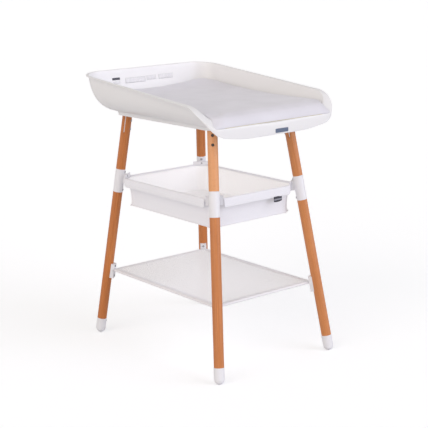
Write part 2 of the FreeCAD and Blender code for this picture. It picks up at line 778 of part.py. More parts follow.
def build_basket_frame():
    """Four rails whose mitred ends lie on upright corner plates; each plate is
    held off its leg sleeve by a short arm."""
    ends = four_way("rail_miter", corner_cutter(
        "rail_miter_block", plate_face, dim.basket_height - spare, spare * 2))
    turn_x = Rotation(Vector(0, 1, 0), 90)
    turn_y = Rotation(Vector(1, 0, 0), -90)
    height = dim.basket_height.value
    wide = basket_x
    deep = basket_y
    rails = (
        ("basket_rail_back", wide * 2, Vector(-wide.value, deep.value, height), turn_x),
        ("basket_rail_front", wide * 2, Vector(-wide.value, -deep.value, height), turn_x),
        ("basket_rail_right", deep * 2, Vector(wide.value, -deep.value, height), turn_y),
        ("basket_rail_left", deep * 2, Vector(-wide.value, -deep.value, height), turn_y))
    for label, length, start, rotation in rails:
        whole = tube(label + "_tube", dim.basket_rail_diameter, dim.basket_rail_wall,
                     length, Placement(start, rotation))
        keep(label, cut(label, whole, ends))

    level = level_frame(height)
    plate_low = -dim.bracket_height / 2
    plate = block("bracket_plate", dim.bracket_thickness, corner_plate_width(),
                  dim.bracket_height, level.multiply(Placement(
                      Vector(-standoff.value, plate_shift().value,
                             plate_low.value), Rotation())))
    buried = sleeve_r / 3
    reach = standoff - sleeve_r + buried
    arm_middle = -(standoff + sleeve_r - buried) / 2
    arm = block("bracket_arm", reach, dim.bracket_arm_width, dim.bracket_height,
                level.multiply(Placement(Vector(arm_middle.value, 0, plate_low.value),
                                         Rotation())))
    sleeve = rod("bracket_saddle", sleeve_r * 2, sleeve_high + spare, leg_frame)
    holes = []
    for number, place in enumerate(rivet_places()):
        holes.append(rod("bracket_hole_%d" % number, dim.rivet_diameter,
                         standoff, place))
    bracket = cut("basket_bracket", fuse("bracket_blank", [plate, arm]),
                  fuse("bracket_tools", [sleeve] + holes))
    on_four_corners("basket_bracket", bracket)


def plate_ends():
    """Where the corner plate's inner face meets the two rails' axes, as distances
    round the leg from the plate's middle."""
    point = axis_point(dim.basket_height.value)
    foot = point - outwards * plate_face.value
    across = Vector(-outwards.y, outwards.x, 0)
    to_back = (basket_y.value - foot.y) / across.y
    to_side = (basket_x.value - foot.x) / across.x
    return to_side, to_back


def corner_plate_width():
    to_side, to_back = plate_ends()
    return size(abs(to_back - to_side)) + dim.bracket_margin


def plate_shift():
    to_side, to_back = plate_ends()
    return size((to_back + to_side) / 2)


def rivet_places():
    """Inner faces of the back right corner plate, with Z pointing at the leg."""
    level = level_frame(dim.basket_height.value)
    towards_leg = Rotation(Vector(0, 1, 0), 90)
    half = dim.rivet_spacing.value / 2
    return [level.multiply(Placement(Vector(-plate_face.value, 0, side * half),
                                     towards_leg))
            for side in (-1, 1)]


def tray_section(name, height, half_x, half_y, reach):
    """Rectangle with its corners cut across, inside the corner plates."""
    point = axis_point(dim.basket_height.value)
    limit = point.dot(outwards) - reach.value
    corner_x = size((limit - half_y.value * outwards.y) / outwards.x)
    corner_y = size((limit - half_x.value * outwards.x) / outwards.y)
    sketch = free_sketch(name, height)
    draw_outline(sketch, [
        (half_x, -corner_y), (half_x, corner_y), (corner_x, half_y), (-corner_x, half_y),
        (-half_x, corner_y), (-half_x, -corner_y), (-corner_x, -half_y), (corner_x, -half_y)])
    return sketch


def build_basket_fabric():
    """Mesh tray that hangs inside the rails, with a flap folded over each rail."""
    rail_r = dim.basket_rail_diameter / 2
    skin = dim.fabric_thickness
    top = dim.basket_height + rail_r + dim.fabric_gap
    low = dim.basket_height - dim.basket_depth
    wide = basket_x - rail_r - dim.fabric_gap
    deep = basket_y - rail_r - dim.fabric_gap
    reach = plate_face + dim.rivet_head_height + dim.corner_gap
    outside = loft("tray_outside", [
        tray_section("tray_low", low, wide - dim.basket_taper_x,
                     deep - dim.basket_taper_y, reach + dim.corner_taper),
        tray_section("tray_high", top + skin, wide, deep, reach)])
    inside = loft("tray_inside", [
        tray_section("tray_in_low", low + skin, wide - dim.basket_taper_x - skin,
                     deep - dim.basket_taper_y - skin, reach + dim.corner_taper + skin),
        tray_section("tray_in_high", top + skin * 2, wide - skin, deep - skin, reach + skin)])
    tray = cut("tray", outside, inside)

    ends = four_way("flap_end", corner_cutter(
        "flap_end_block", reach + dim.flap_end_gap, low, dim.basket_depth * 2))
    outer_x = basket_x + rail_r + dim.fabric_gap + skin
    outer_y = basket_y + rail_r + dim.fabric_gap + skin
    flap_low = top + skin - dim.flap_height
    level = Placement(Vector(0, 0, flap_low.value), Rotation())
    hood = block("flap_block", outer_x * 2, outer_y * 2, dim.flap_height, level)
    pocket = block("flap_pocket", (outer_x - skin) * 2, (outer_y - skin) * 2,
                   dim.flap_height - skin, level)
    well = block("flap_well", (wide - skin) * 2, (deep - skin) * 2, dim.flap_height + skin, level)
    flaps = cut("flaps", cut("flap_hood", hood, fuse("flap_tools", [pocket, well])), ends)
    keep("basket_fabric", fuse("basket_fabric", [tray, flaps]))


def build_basket_base():
    """Stiff board in the bottom of the tray."""
    inset = dim.basket_rail_diameter / 2 + dim.fabric_gap + dim.fabric_thickness + dim.base_gap
    reach = (plate_face + dim.rivet_head_height + dim.corner_gap + dim.corner_taper
             + dim.fabric_thickness + dim.base_gap)
    sketch = tray_section("base_outline",
                          dim.basket_height - dim.basket_depth + dim.fabric_thickness,
                          basket_x - inset - dim.basket_taper_x,
                          basket_y - inset - dim.basket_taper_y, reach)
    keep("basket_base", extrude("basket_base", sketch, dim.base_thickness))


def build_basket_tag():
    rail_r = dim.basket_rail_diameter / 2
    front = basket_y + rail_r + dim.fabric_gap + dim.fabric_thickness
    flap_low = (dim.basket_height + rail_r + dim.fabric_gap + dim.fabric_thickness
                - dim.flap_height)
    place = Placement(Vector(dim.tag_centre.value, -(front + dim.tag_thickness / 2).value,
                             (flap_low - dim.tag_height + dim.tag_overlap).value), Rotation())
    keep("basket_tag", block("basket_tag", dim.tag_width, dim.tag_thickness,
                             dim.tag_height, place))


# --------------------------------------------------------------------- shelf

def build_shelf():
    """Four rails mitred at the corners, seated in saddle brackets on the legs."""
    height = dim.shelf_height.value
    wide = shelf_x
    deep = shelf_y
    rail_r = dim.shelf_rail_diameter / 2
    turn_x = Rotation(Vector(0, 1, 0), 90)
    turn_y = Rotation(Vector(1, 0, 0), -90)
    reach = rail_r * 2
    specs = (
        ("shelf_rail_back", 1, wide, Vector(0, deep.value, height), turn_x),
        ("shelf_rail_front", -1, wide, Vector(0, -deep.value, height), turn_x),
        ("shelf_rail_right", 1, deep, Vector(wide.value, 0, height), turn_y),
        ("shelf_rail_left", -1, deep, Vector(-wide.value, 0, height), turn_y))
    for label, side, half, middle, rotation in specs:
        start = Placement(middle, rotation).multVec(Vector(0, 0, -(half + reach).value))
        whole = tube(label + "_tube", dim.shelf_rail_diameter, dim.shelf_rail_wall,
                     (half + reach) * 2, Placement(start, rotation))
        wedge = free_sketch(label + "_miter", dim.shelf_height - rail_r * 2)
        edge = rail_r * 3
        if rotation is turn_x:
            inner, outer = side * (deep - edge), side * (deep + edge)
            corners = [(-(wide - edge), inner), (wide - edge, inner),
                       (wide + edge, outer), (-(wide + edge), outer)]
        else:
            inner, outer = side * (wide - edge), side * (wide + edge)
            corners = [(inner, -(deep - edge)), (inner, deep - edge),
                       (outer, deep + edge), (outer, -(deep + edge))]
        draw_outline(wedge, corners)
        slab = extrude(label + "_slab", wedge, rail_r * 4)
        keep(label, common(label, [whole, slab]))

    panel = new_body("shelf_mesh")
    sketch = new_sketch(panel, "shelf_mesh_outline", "XY_Plane",
                        dim.shelf_height - dim.mesh_thickness / 2)
    half_x = wide - rail_r - dim.fabric_gap
    half_y = deep - rail_r - dim.fabric_gap
    draw_outline(sketch, [(-half_x, -half_y), (half_x, -half_y),
                          (half_x, half_y), (-half_x, half_y)])
    feature(panel, "Pad", sketch, dim.mesh_thickness)
    keep("shelf_mesh", panel)

    middle = along(dim.shelf_height)
    base = middle - dim.shelf_bracket_length / 2
    saddle = block("shelf_saddle", shelf_reach, dim.shelf_bracket_width,
                   dim.shelf_bracket_length, leg_frame.multiply(Placement(
                       Vector(-shelf_reach.value / 2, 0, base.value), Rotation())))
    leg = rod("shelf_saddle_leg", dim.leg_diameter, sleeve_low, leg_frame)
    back = rod("shelf_groove_back", dim.shelf_rail_diameter, wide + reach, Placement(
        Vector(0, deep.value, height), turn_x))
    side = rod("shelf_groove_side", dim.shelf_rail_diameter, deep + reach, Placement(
        Vector(wide.value, 0, height), turn_y))
    holes = [rod("shelf_bolt_hole_%d" % number, sleeve_bolt_hole,
                 shelf_reach, place)
             for number, place in enumerate(shelf_bolt_places())]
    bracket = cut("shelf_bracket", saddle, fuse("shelf_tools", [leg, back, side] + holes))
    on_four_corners("shelf_bracket", bracket)


def shelf_bolt_places():
    return leg_places([height.value for height in shelf_bolts_at], -shelf_reach.value)


# ----------------------------------------------------------------- fasteners

def leg_places(heights, start, outward=True):
    """Places on the back right leg with Z across it: outwards from the start, or
    inwards."""
    rotation = Rotation(Vector(0, 1, 0), 90 if outward else -90)
    return [leg_frame.multiply(Placement(Vector(start, 0, height), rotation))
            for height in heights]


def button_bolt(name, diameter, head, head_height, length):
    """Button-head bolt: its seat is at Z 0, the shank runs up and the head down."""
    body = new_body(name)
    shank = diameter / 2
    rim = head / 2
    dome = (rim * rim + head_height * head_height) / (head_height * 2)
    turn(body, name + "_outline", [
        (0, -head_height), (rim, 0, dome), (shank, 0), (shank, length), (0, length)])
    return body


def build_fasteners():
    bolt = button_bolt("tongue_bolt", dim.bolt_diameter, dim.bolt_head,
                       dim.bolt_head_height, bolt_seat * 2 + dim.bolt_end_gap)
    group("tongue_bolts", bolt,
          leg_places([height.value for height in tongue_bolts_at],
                     bolt_seat.value, outward=False))

    nut = new_body("tongue_nut")
    inner = dim.bolt_diameter / 2
    outer = dim.nut_diameter / 2
    tall = leg_r - bolt_seat + dim.nut_proud
    bevel = dim.nut_edge
    turn(nut, "tongue_nut_outline", [
        (inner, 0), (outer, 0), (outer, tall - bevel), (outer - bevel, tall), (0, tall),
        (0, dim.nut_floor), (inner, dim.nut_floor)])
    group("tongue_nuts", nut,
          leg_places([height.value for height in tongue_bolts_at],
                     -bolt_seat.value, outward=False))

    screw = button_bolt("sleeve_bolt", dim.sleeve_bolt_diameter, dim.sleeve_bolt_head,
                        dim.button_height, dim.sleeve_bolt_depth)
    group("sleeve_bolts", screw,
          leg_places([height.value for height in sleeve_bolts_at],
                     -sleeve_r.value))
    shelf_bolt = button_bolt("shelf_bolt", dim.sleeve_bolt_diameter, dim.sleeve_bolt_head,
                             dim.button_height,
                             shelf_reach - spigot_r / 2 - dim.bolt_end_gap)
    group("shelf_bolts", shelf_bolt, shelf_bolt_places())

    cap_screw = button_bolt("foot_screw", dim.cap_screw_diameter, dim.cap_screw_head,
                            dim.cap_screw_height, dim.cap_screw_depth)
    group("foot_screws", cap_screw,
          leg_places([cap_screw_at.value], -cap_r.value))

    rivet = button_bolt("basket_rivet", dim.rivet_diameter, dim.rivet_head,
                        dim.rivet_head_height, dim.rivet_depth)
    group("basket_rivets", rivet, rivet_places())

    tub_screw = button_bolt("tub_screw", dim.tub_screw_diameter, dim.tub_screw_head,
                            dim.tub_screw_height,
                            dim.tongue_thickness + dim.tub_screw_bite - dim.fit_gap * 2)
    group("tub_screws", tub_screw, corner_places(tub_screw_places()),
          mirror_corners=False)


# --------------------------------------------------------------------- build

build_upper_leg()
build_lower_leg()
build_leg_sleeve()
build_foot_cap()
build_leg_tongue()
build_tub()
build_under_frame()
build_mat()
build_badge()
build_basket_frame()
build_basket_fabric()
build_basket_base()
build_basket_tag()
build_shelf()
doc.recompute()
build_fasteners()
doc.recompute()

for item in doc.Objects:
    if "Invalid" in item.State or "Error" in item.State:
        raise RuntimeError("%s failed: %s" % (item.Name, item.State))
for label, item in nodes.items():
    if item.Shape.isNull() or not item.Shape.isValid() or not item.Shape.Solids:
        raise RuntimeError(label + " has no valid solid")
for label, item in nodes.items():
    item.Shape.exportStep("parts/%s.step" % label)
print("%d sub-parts written" % len(nodes))
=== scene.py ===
"""Changing table: finishes, soft goods and moulded tub built around the fixed frame.

Everything is in metres in the frame's own coordinates: +Z up, -Y the low front of
the tub, origin on the floor at the middle of the four legs.
"""

import math

import bmesh
import bpy
from bpy.props import FloatProperty, FloatVectorProperty, PointerProperty
from mathutils import Matrix, Vector, noise
from mathutils.bvhtree import BVHTree


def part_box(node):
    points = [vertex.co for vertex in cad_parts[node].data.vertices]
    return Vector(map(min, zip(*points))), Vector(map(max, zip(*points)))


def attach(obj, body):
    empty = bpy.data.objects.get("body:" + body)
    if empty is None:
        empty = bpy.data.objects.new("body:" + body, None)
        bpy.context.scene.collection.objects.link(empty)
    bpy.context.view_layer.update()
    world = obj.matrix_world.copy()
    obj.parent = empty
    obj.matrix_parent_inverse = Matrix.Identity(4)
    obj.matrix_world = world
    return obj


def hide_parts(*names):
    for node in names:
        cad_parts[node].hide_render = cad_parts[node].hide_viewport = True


bl_info = {
    "name": "Changing table",
    "version": (1, 0, 0),
    "blender": (4, 5, 0),
    "location": "View3D > Sidebar > Changing table",
    "description": "Moulded tub, padded mat, mesh basket and mesh shelf on beech legs",
    "category": "Add Mesh",
}

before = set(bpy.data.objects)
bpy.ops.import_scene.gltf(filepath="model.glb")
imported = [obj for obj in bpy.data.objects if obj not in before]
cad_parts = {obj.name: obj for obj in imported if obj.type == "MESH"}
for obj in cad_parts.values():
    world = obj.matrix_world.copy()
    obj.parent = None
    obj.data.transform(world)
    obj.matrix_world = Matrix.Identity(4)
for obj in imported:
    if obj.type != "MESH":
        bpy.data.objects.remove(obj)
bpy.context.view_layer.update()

MM = 0.001
CORNERS = ("back_left", "back_right", "front_left", "front_right")
SIDES = ("back", "front", "left", "right")
BOLT_SIDES = 24
CLOTH_FRAMES = 20
FLOOR_SIZE = 60.0
# Each leg is two turnings from different boards: how much paler some of them are drawn.
# The share is partly the wood's own tone and partly a painted highlight on the front
# legs, strongest on the upper front left leg where the light falls.
PALER_TONE_AND_HIGHLIGHT = {"upper_leg_front_left": 0.75, "lower_leg_front_left": 0.1,
         "upper_leg_front_right": 0.2, "lower_leg_front_right": 0.22}


def linear(code):
    """Linear colour with alpha from an sRGB hex code such as #C8844F."""
    shares = [int(code[place:place + 2], 16) / 255 for place in (1, 3, 5)]
    return tuple(share / 12.92 if share <= 0.04045 else ((share + 0.055) / 1.055) ** 2.4
                 for share in shares) + (1.0,)


# ------------------------------------------------------------ sizes and colours

def length(name, description, default):
    """Setting in metres; it takes five decimals, so tenths of a millimetre show."""
    return FloatProperty(name=name, description=description, default=default,
                         unit="LENGTH", subtype="DISTANCE", precision=5)


def colour(name, description, code):
    """Setting for a colour, its default given as an sRGB hex code."""
    return FloatVectorProperty(name=name, description=description, default=linear(code),
                               size=4, min=0.0, max=1.0, subtype="COLOR")


class TubSizes(bpy.types.PropertyGroup):
    wall: length("Wall", "Thickness of the moulded wall", 4 * MM)
    flange: length("Flange", "How far the rim stands out past the wall", 8.6 * MM)
    ledge: length("Ledge", "How far the floor stands out past the ring below", 2 * MM)
    front_radius: length("Front corner", "Radius of the rim's front corners", 69 * MM)
    back_radius: length("Back corner", "Radius of the rim's back corners", 90 * MM)
    side_rise: length("Side rise", "Rim above the floor where it starts to drop", 72 * MM)
    drop_start: length("Drop start", "From the front edge to where the rim drops", 108 * MM)
    drop_end: length("Drop end", "From the front edge to where the rim is low", 3 * MM)
    lip_round: length("Lip rounding", "Radius of the front lip's upper edge", 9.5 * MM)
    over: length("Bowl above rim", "Height of the wall curve past the rim", 13.1 * MM)


class MatSizes(bpy.types.PropertyGroup):
    gap: length("Gap", "Between the unfilled cover and the tub", 4.5 * MM)
    swell: length("Swell", "Most that the filling pushes the cover out", 3.5 * MM)
    side_height: length("Side height", "Edge of the mat above the tub's floor", 42 * MM)
    back_rise: length("Back rise", "How far the edge climbs at the back corners", 25 * MM)
    middle_height: length("Middle", "Top of the mat above the tub's floor", 42 * MM)
    voxel: length("Voxel", "Mesh size of the cover", 6 * MM)


class BasketSizes(bpy.types.PropertyGroup):
    skin: length("Mesh", "Thickness of the mesh", 0.9 * MM)
    drawn_in: length("Drawn in", "How far the walls are pulled in at mid height", 5 * MM)
    corner_taper: length("Corner taper", "How far the cut corners lean in", 13.3 * MM)
    hem: length("Hem", "Width of the hem on the flaps", 9 * MM)
    flap_corner: length("Flap corner", "Radius of the flaps' lower corners", 7 * MM)
    binding: length("Binding", "Radius of the bound edge at the bottom", 1.6 * MM)
    stitch: length("Stitch", "Distance from stitch to stitch", 5 * MM)


class ShelfSizes(bpy.types.PropertyGroup):
    sag: length("Sag", "How far the stretched mesh hangs at its middle", 3.5 * MM)
    hem: length("Hem", "Width of the hem round the rails", 17 * MM)
    skin: length("Mesh", "Thickness of the mesh", 0.8 * MM)


class FinishColours(bpy.types.PropertyGroup):
    beech: colour("Beech", "Light tone of the lacquered legs", "#CC7D3D")
    beech_dark: colour("Beech grain", "Dark tone of the grain", "#AF6124")
    # Pale beech is partly the wood's own tone and partly a painted highlight on the front legs.
    beech_pale_and_highlight: colour("Pale beech", "Tone of the palest turning", "#E8A873")
    plastic: colour("Tub", "Moulded tub", "#EBEAEB")
    coat: colour("Powder coat", "Sleeves, brackets and rails", "#E7E6EA")
    cover: colour("Mat cover", "Coated jersey of the mat", "#DFDDE4")
    mesh: colour("Basket mesh", "Warp-knitted mesh of the basket", "#E1E0E5")
    shelf: colour("Shelf mesh", "Stretched mesh of the shelf", "#F0EFF0")
    tape: colour("Hems", "Folded hems and bindings", "#F0EEF1")
    label: colour("Label", "Woven label on the basket", "#232231")
    plate: colour("Plate", "Small plate on the lip", "#5F6C84")


class StageSettings(bpy.types.PropertyGroup):
    azimuth: FloatProperty(name="Azimuth", description="Camera's turn round the table",
                           default=math.radians(-38.11), subtype="ANGLE")
    elevation: FloatProperty(name="Elevation", description="Camera above the horizon",
                             default=math.radians(13.32), subtype="ANGLE")
    roll: FloatProperty(name="Roll", description="Camera's tilt about its own line of sight",
                        default=math.radians(-1.35), subtype="ANGLE")
    lens: FloatProperty(name="Lens", description="Focal length in millimetres", default=96.72)
    distance: length("Distance", "From the aim point to the camera", 4.2234)
    aim_height: length("Aim height", "Height of the aim point on the table's axis", 0.4365)
    slide_right: length("Slide right", "Camera moved to its own right", 20.3 * MM)
    slide_up: length("Slide up", "Camera moved to its own top", 49.6 * MM)
    sky: FloatProperty(name="Sky", description="Even light from all round", default=0.66)
    key: FloatProperty(name="Key", description="Soft light from the front right", default=1.0)


GROUPS = {
    "tub_sizes": TubSizes, "mat_sizes": MatSizes, "basket_sizes": BasketSizes,
    "shelf_sizes": ShelfSizes, "finish_colours": FinishColours,
    "stage_settings": StageSettings,
}


# ------------------------------------------------------------------- materials

# A wave texture of scale 1 makes this many bands per metre.
BANDS = 3.18
ABS_IOR, COATING_IOR, FIBRE_IOR = 1.54, 1.5, 1.5


def add(tree, kind, inputs=None, **settings):
    """Adds a node: settings are its own, inputs are values or sockets to link."""
    node = tree.nodes.new("ShaderNode" + kind)
    for name, value in settings.items():
        setattr(node, name, value)
    for socket, value in (inputs or {}).items():
        if isinstance(value, bpy.types.NodeSocket):
            tree.links.new(value, node.inputs[socket])
        else:
            node.inputs[socket].default_value = value
    return node


def shaded(tint, share):
    """The same colour, darkened to a share."""
    return tuple(channel * share for channel in tint[:3]) + (1.0,)


class Finish:
    """A material with one shader, and short ways to make the patterns that feed it.
    Sizes of patterns are real millimetres."""

    def __init__(self, name, **values):
        self.material = bpy.data.materials.new(name)
        self.material.use_nodes = True
        self.tree = self.material.node_tree
        self.tree.nodes.clear()
        self.shader = add(self.tree, "BsdfPrincipled", {
            key.replace("_", " "): value for key, value in values.items()})
        add(self.tree, "OutputMaterial", {"Surface": self.shader.outputs[0]})
        self.place = add(self.tree, "TexCoord").outputs["Object"]

    def feed(self, socket, value):
        self.tree.links.new(value, self.shader.inputs[socket])

    def noise(self, size, detail=2.0, **inputs):
        """Cloudy pattern with features of one size."""
        return add(self.tree, "TexNoise", {"Vector": self.place, "Scale": 1 / (size * MM),
                                           "Detail": detail, **inputs}).outputs["Fac"]

    def wave(self, pitch, direction, **inputs):
        """Bands across one direction, at a pitch."""
        return add(self.tree, "TexWave", {
            "Vector": self.place, "Scale": 1 / (pitch * MM * BANDS), **inputs},
            bands_direction=direction).outputs["Fac"]

    def span(self, value, start, end, first=0.0, last=1.0):
        """Value from start to end, spread from first to last."""
        return add(self.tree, "MapRange", {
            "Value": value, "From Min": start, "From Max": end, "To Min": first,
            "To Max": last}).outputs[0]

    def sums(self, operation, first, second):
        return add(self.tree, "Math", {0: first, 1: second}, operation=operation).outputs[0]

    def blend(self, share, first, second):
        """The first colour, with a share of the second mixed in."""
        return add(self.tree, "Mix", {0: share, 6: first, 7: second},
                   data_type="RGBA").outputs[2]

    def relief(self, height, strength, depth, **settings):
        """Fine surface relief of a depth."""
        self.feed("Normal", add(self.tree, "Bump", {
            "Height": height, "Strength": strength, "Distance": depth * MM},
            **settings).outputs[0])


def moulded_abs(name, tint, roughness):
    """Injection-moulded ABS: an even white with a soft gloss; the mould's fine spark
    texture breaks up the highlight, and thicker runs look very slightly greyer."""
    finish = Finish(name, Roughness=roughness, IOR=ABS_IOR)
    grain = finish.noise(1.1, 3.0, Roughness=0.6)
    finish.feed("Base Color", finish.blend(finish.noise(180), tint, shaded(tint, 0.965)))
    finish.feed("Roughness", finish.span(grain, 0.3, 0.7, roughness - 0.05,
                                         roughness + 0.06))
    finish.relief(grain, 0.12, 0.05)
    return finish.material


def powder_coat(name, tint):
    """Powder-coated steel: white with a faint orange peel a couple of millimetres
    across, which makes its highlights soft and slightly pebbled."""
    finish = Finish(name, Base_Color=tint, IOR=COATING_IOR)
    peel = finish.noise(2.2, 1.5)
    finish.feed("Roughness", finish.span(peel, 0.0, 1.0, 0.34, 0.5))
    finish.relief(peel, 0.25, 0.08)
    return finish.material


def lacquered_beech(name, tones, low, high):
    """Steamed beech, turned and satin lacquered: warm orange-brown with straight grain
    along the leg and the short dark flecks that beech's rays leave on its face."""
    light, dark = tones
    finish = Finish(name, IOR=COATING_IOR, Coat_Weight=0.25, Coat_Roughness=0.25)
    along = (high - low).to_track_quat("Z", "Y").to_euler()
    turned = add(finish.tree, "Mapping", {"Vector": finish.place, "Location": low,
                                          "Rotation": along}, vector_type="TEXTURE")

    def stretched(across, lengthwise):
        """From here on, patterns of one unit are this wide and this long."""
        finish.place = add(finish.tree, "Mapping", {
            "Vector": turned.outputs[0],
            "Scale": (1 / (across * MM), 1 / (across * MM), 1 / (lengthwise * MM))}).outputs[0]

    whole = 1 / MM
    stretched(3.2, 160)
    grain = finish.noise(whole, 5.0, Roughness=0.62, Distortion=0.4)
    stretched(26, 420)
    tone = finish.noise(whole)
    stretched(1.3, 7)
    fleck = add(finish.tree, "TexVoronoi", {"Vector": finish.place, "Scale": 1.0})
    body = finish.blend(finish.span(grain, 0.35, 0.68), light, dark)
    toned = finish.blend(finish.span(tone, 0.35, 0.65, 0.0, 0.4), body,
                         light.lerp(dark, 0.45))
    flecks = finish.span(fleck.outputs["Distance"], 0.12, 0.3, 0.5, 0.0)
    finish.feed("Base Color", finish.blend(flecks, toned, linear("#98521F")))
    finish.feed("Roughness", finish.span(grain, 0.0, 1.0, 0.32, 0.5))
    finish.relief(grain, 0.2, 0.06)
    return finish.material


def plated_steel(name, tint, roughness):
    """Turned and plated steel: metal with fine lathe marks, which stretch the small
    highlights and keep the heads from looking like chrome."""
    finish = Finish(name, Base_Color=tint, Metallic=1.0)
    marks = finish.noise(0.6, 3.0)
    finish.feed("Roughness", finish.span(marks, 0.0, 1.0, roughness - 0.08,
                                         roughness + 0.12))
    finish.relief(marks, 0.15, 0.03)
    return finish.material


def coated_jersey(name, tint):
    """Jersey with a thin soft coating: matt, with fine knit ribs that only show as a
    slight bloom at grazing light. The ribs are drawn at 2.4 mm so that they show."""
    finish = Finish(name, Roughness=0.62, IOR=1.46, Sheen_Weight=0.2, Sheen_Roughness=0.5)
    ribs, loops = (finish.wave(pitch, direction, Distortion=0.6, Detail=1.0)
                   for pitch, direction in ((2.4, "X"), (3.0, "Y")))
    cloud = finish.span(finish.noise(90, 3.0), 0.3, 0.7)
    finish.feed("Base Color", finish.blend(cloud, tint, shaded(tint, 0.94)))
    finish.relief(finish.sums("MULTIPLY", ribs, loops), 0.22, 0.12)
    return finish.material


def open_mesh(name, tint, open_share, pitch, glow=0.13):
    """Warp-knitted polyester mesh: rows of small holes on the diagonal. The real holes
    are about a millimetre apart; they are drawn coarser so that they show. The cloth
    is thin, and a faint glow stands for the light that comes through it."""
    finish = Finish(name, Roughness=0.7, IOR=FIBRE_IOR, Sheen_Weight=0.1,
                    Emission_Color=tint, Emission_Strength=glow)
    weave = add(finish.tree, "UVMap", uv_map="weave").outputs[0]
    finish.place = add(finish.tree, "Mapping", {
        "Vector": weave, "Rotation": (0.0, 0.0, math.radians(45))}).outputs[0]
    rows = finish.sums("MULTIPLY", finish.wave(pitch, "X"), finish.wave(pitch, "Y"))
    hole = finish.span(rows, 0.3, 0.6)
    finish.feed("Base Color", finish.blend(hole, tint, shaded(tint, 0.93)))
    finish.feed("Alpha", finish.span(hole, 0.0, 1.0, 1.0, 1.0 - open_share))
    finish.relief(rows, 0.3, 0.2, invert=True)
    return finish.material


def woven_tape(name, tint, rib, glow=0.0):
    """Flat woven polyester: close ribs across the tape give a dull, slightly lined
    surface; used for hems, bindings, thread and the covered board, where a faint glow
    stands for light through the thin mesh around it."""
    finish = Finish(name, Roughness=0.68, IOR=FIBRE_IOR, Sheen_Weight=0.15,
                    Emission_Color=tint, Emission_Strength=glow)
    weave = finish.noise(rib, Roughness=0.7)
    finish.feed("Base Color", finish.blend(weave, tint, shaded(tint, 0.9)))
    finish.relief(weave, 0.35, 0.1)
    return finish.material


def striped_label(name, tint, stripe, low, high):
    """Damask-woven label: a dark ground with one plain paler band woven across it."""
    finish = Finish(name, Roughness=0.6, IOR=FIBRE_IOR, Sheen_Weight=0.2)
    height = add(finish.tree, "SeparateXYZ", {0: finish.place}).outputs["Z"]
    band = finish.sums("MULTIPLY", finish.sums("GREATER_THAN", height, low),
                       finish.sums("LESS_THAN", height, high))
    threads = finish.noise(0.9)
    share = finish.sums("MULTIPLY", band, threads)
    finish.feed("Base Color", finish.blend(share, tint, stripe))
    finish.relief(threads, 0.4, 0.1)
    return finish.material


def ruled_print(name, ground, ink, pitch):
    """Screen-printed rules on white plastic: pale blank lines in place of small print."""
    finish = Finish(name, Roughness=0.4, IOR=COATING_IOR)
    line = finish.sums("MULTIPLY", finish.wave(pitch, "Z"), finish.noise(5, 1.0))
    finish.feed("Base Color", finish.blend(finish.span(line, 0.15, 0.45), ground, ink))
    return finish.material


def studio_floor(name):
    """Pale studio sweep: matt white, lifted only where it is looked at, so that it
    stays plain without lighting the table from below."""
    finish = Finish(name, Base_Color=linear("#E2E3E5"), Roughness=1.0,
                    Specular_IOR_Level=0.0, Emission_Color=(1.0, 1.0, 1.0, 1.0))
    seen = add(finish.tree, "LightPath").outputs["Is Camera Ray"]
    finish.feed("Emission Strength", finish.sums("MULTIPLY", seen, 0.4))
    return finish.material


# -------------------------------------------------------------- modelling helpers

def finish_piece(name, bm, material, body="table", sharp=None, weave=None):
    """Makes a piece of the bmesh, gives it its material and lets it ride on a body."""
    mesh = bpy.data.meshes.new(name)
    bm.to_mesh(mesh)
    bm.free()
    mesh.shade_smooth()
    if sharp is not None:
        mesh.set_sharp_from_angle(angle=math.radians(sharp))
    if weave is not None:
        lay_weave(mesh, weave)
    piece = bpy.data.objects.new(name, mesh)
    bpy.context.scene.collection.objects.link(piece)
    mesh.materials.append(material)
    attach(piece, body)
    return piece


def lay_weave(mesh, across):
    """Flat map in metres for a weave: across gives the map's place of a point, from the
    point and the normal of its face."""
    layer = mesh.uv_layers.new(name="weave")
    for face in mesh.polygons:
        for loop in face.loop_indices:
            place = mesh.vertices[mesh.loops[loop].vertex_index].co
            layer.data[loop].uv = across(place, face.normal)


def by_facing(place, normal):
    """Weave that runs level and upright on walls, and along X and Y on a floor."""
    if abs(normal.z) > 0.7:
        return place.x, place.y
    if abs(normal.x) > abs(normal.y):
        return place.y, place.z
    return place.x, place.z


def sweep(rows, loop=False):
    """Surface through rows of points: the first row is drawn, and each of the others
    is extruded from the one before and put in place. With loop, rows are closed."""
    bm = bmesh.new()
    verts = [bm.verts.new(place) for place in rows[0]]
    pairs = list(zip(verts, verts[1:]))
    if loop:
        pairs.append((verts[-1], verts[0]))
    edges = [bm.edges.new(pair) for pair in pairs]
    for row in rows[1:]:
        made = bmesh.ops.extrude_edge_only(bm, edges=edges)["geom"]
        fresh = {item for item in made if isinstance(item, bmesh.types.BMVert)}
        edges = [item for item in made if isinstance(item, bmesh.types.BMEdge)
                 and item.verts[0] in fresh and item.verts[1] in fresh]
        verts = [next(edge.other_vert(vert) for edge in vert.link_edges
                      if edge.other_vert(vert) in fresh) for vert in verts]
        for vert, place in zip(verts, row):
            vert.co = place
    return bm


def tidy(bm, near=0.02 * MM):
    """Merges points that fell together and turns all faces outwards."""
    bmesh.ops.remove_doubles(bm, verts=bm.verts, dist=near)
    bmesh.ops.dissolve_degenerate(bm, dist=near / 10, edges=bm.edges)
    bmesh.ops.recalc_face_normals(bm, faces=bm.faces)


def face_towards(bm, way):
    """Makes the normals agree, and the face that lies furthest that way look that way."""
    bmesh.ops.recalc_face_normals(bm, faces=bm.faces)
    furthest = max(bm.faces, key=lambda face: face.calc_center_median().dot(way))
    if furthest.normal.dot(way) < 0:
        bmesh.ops.reverse_faces(bm, faces=bm.faces)


def mirror_left(bm):
    """Adds the left half to a right half that ends on the plane X = 0."""
    geometry = bm.verts[:] + bm.edges[:] + bm.faces[:]
    bmesh.ops.mirror(bm, geom=geometry, axis="X", merge_dist=0.01 * MM)


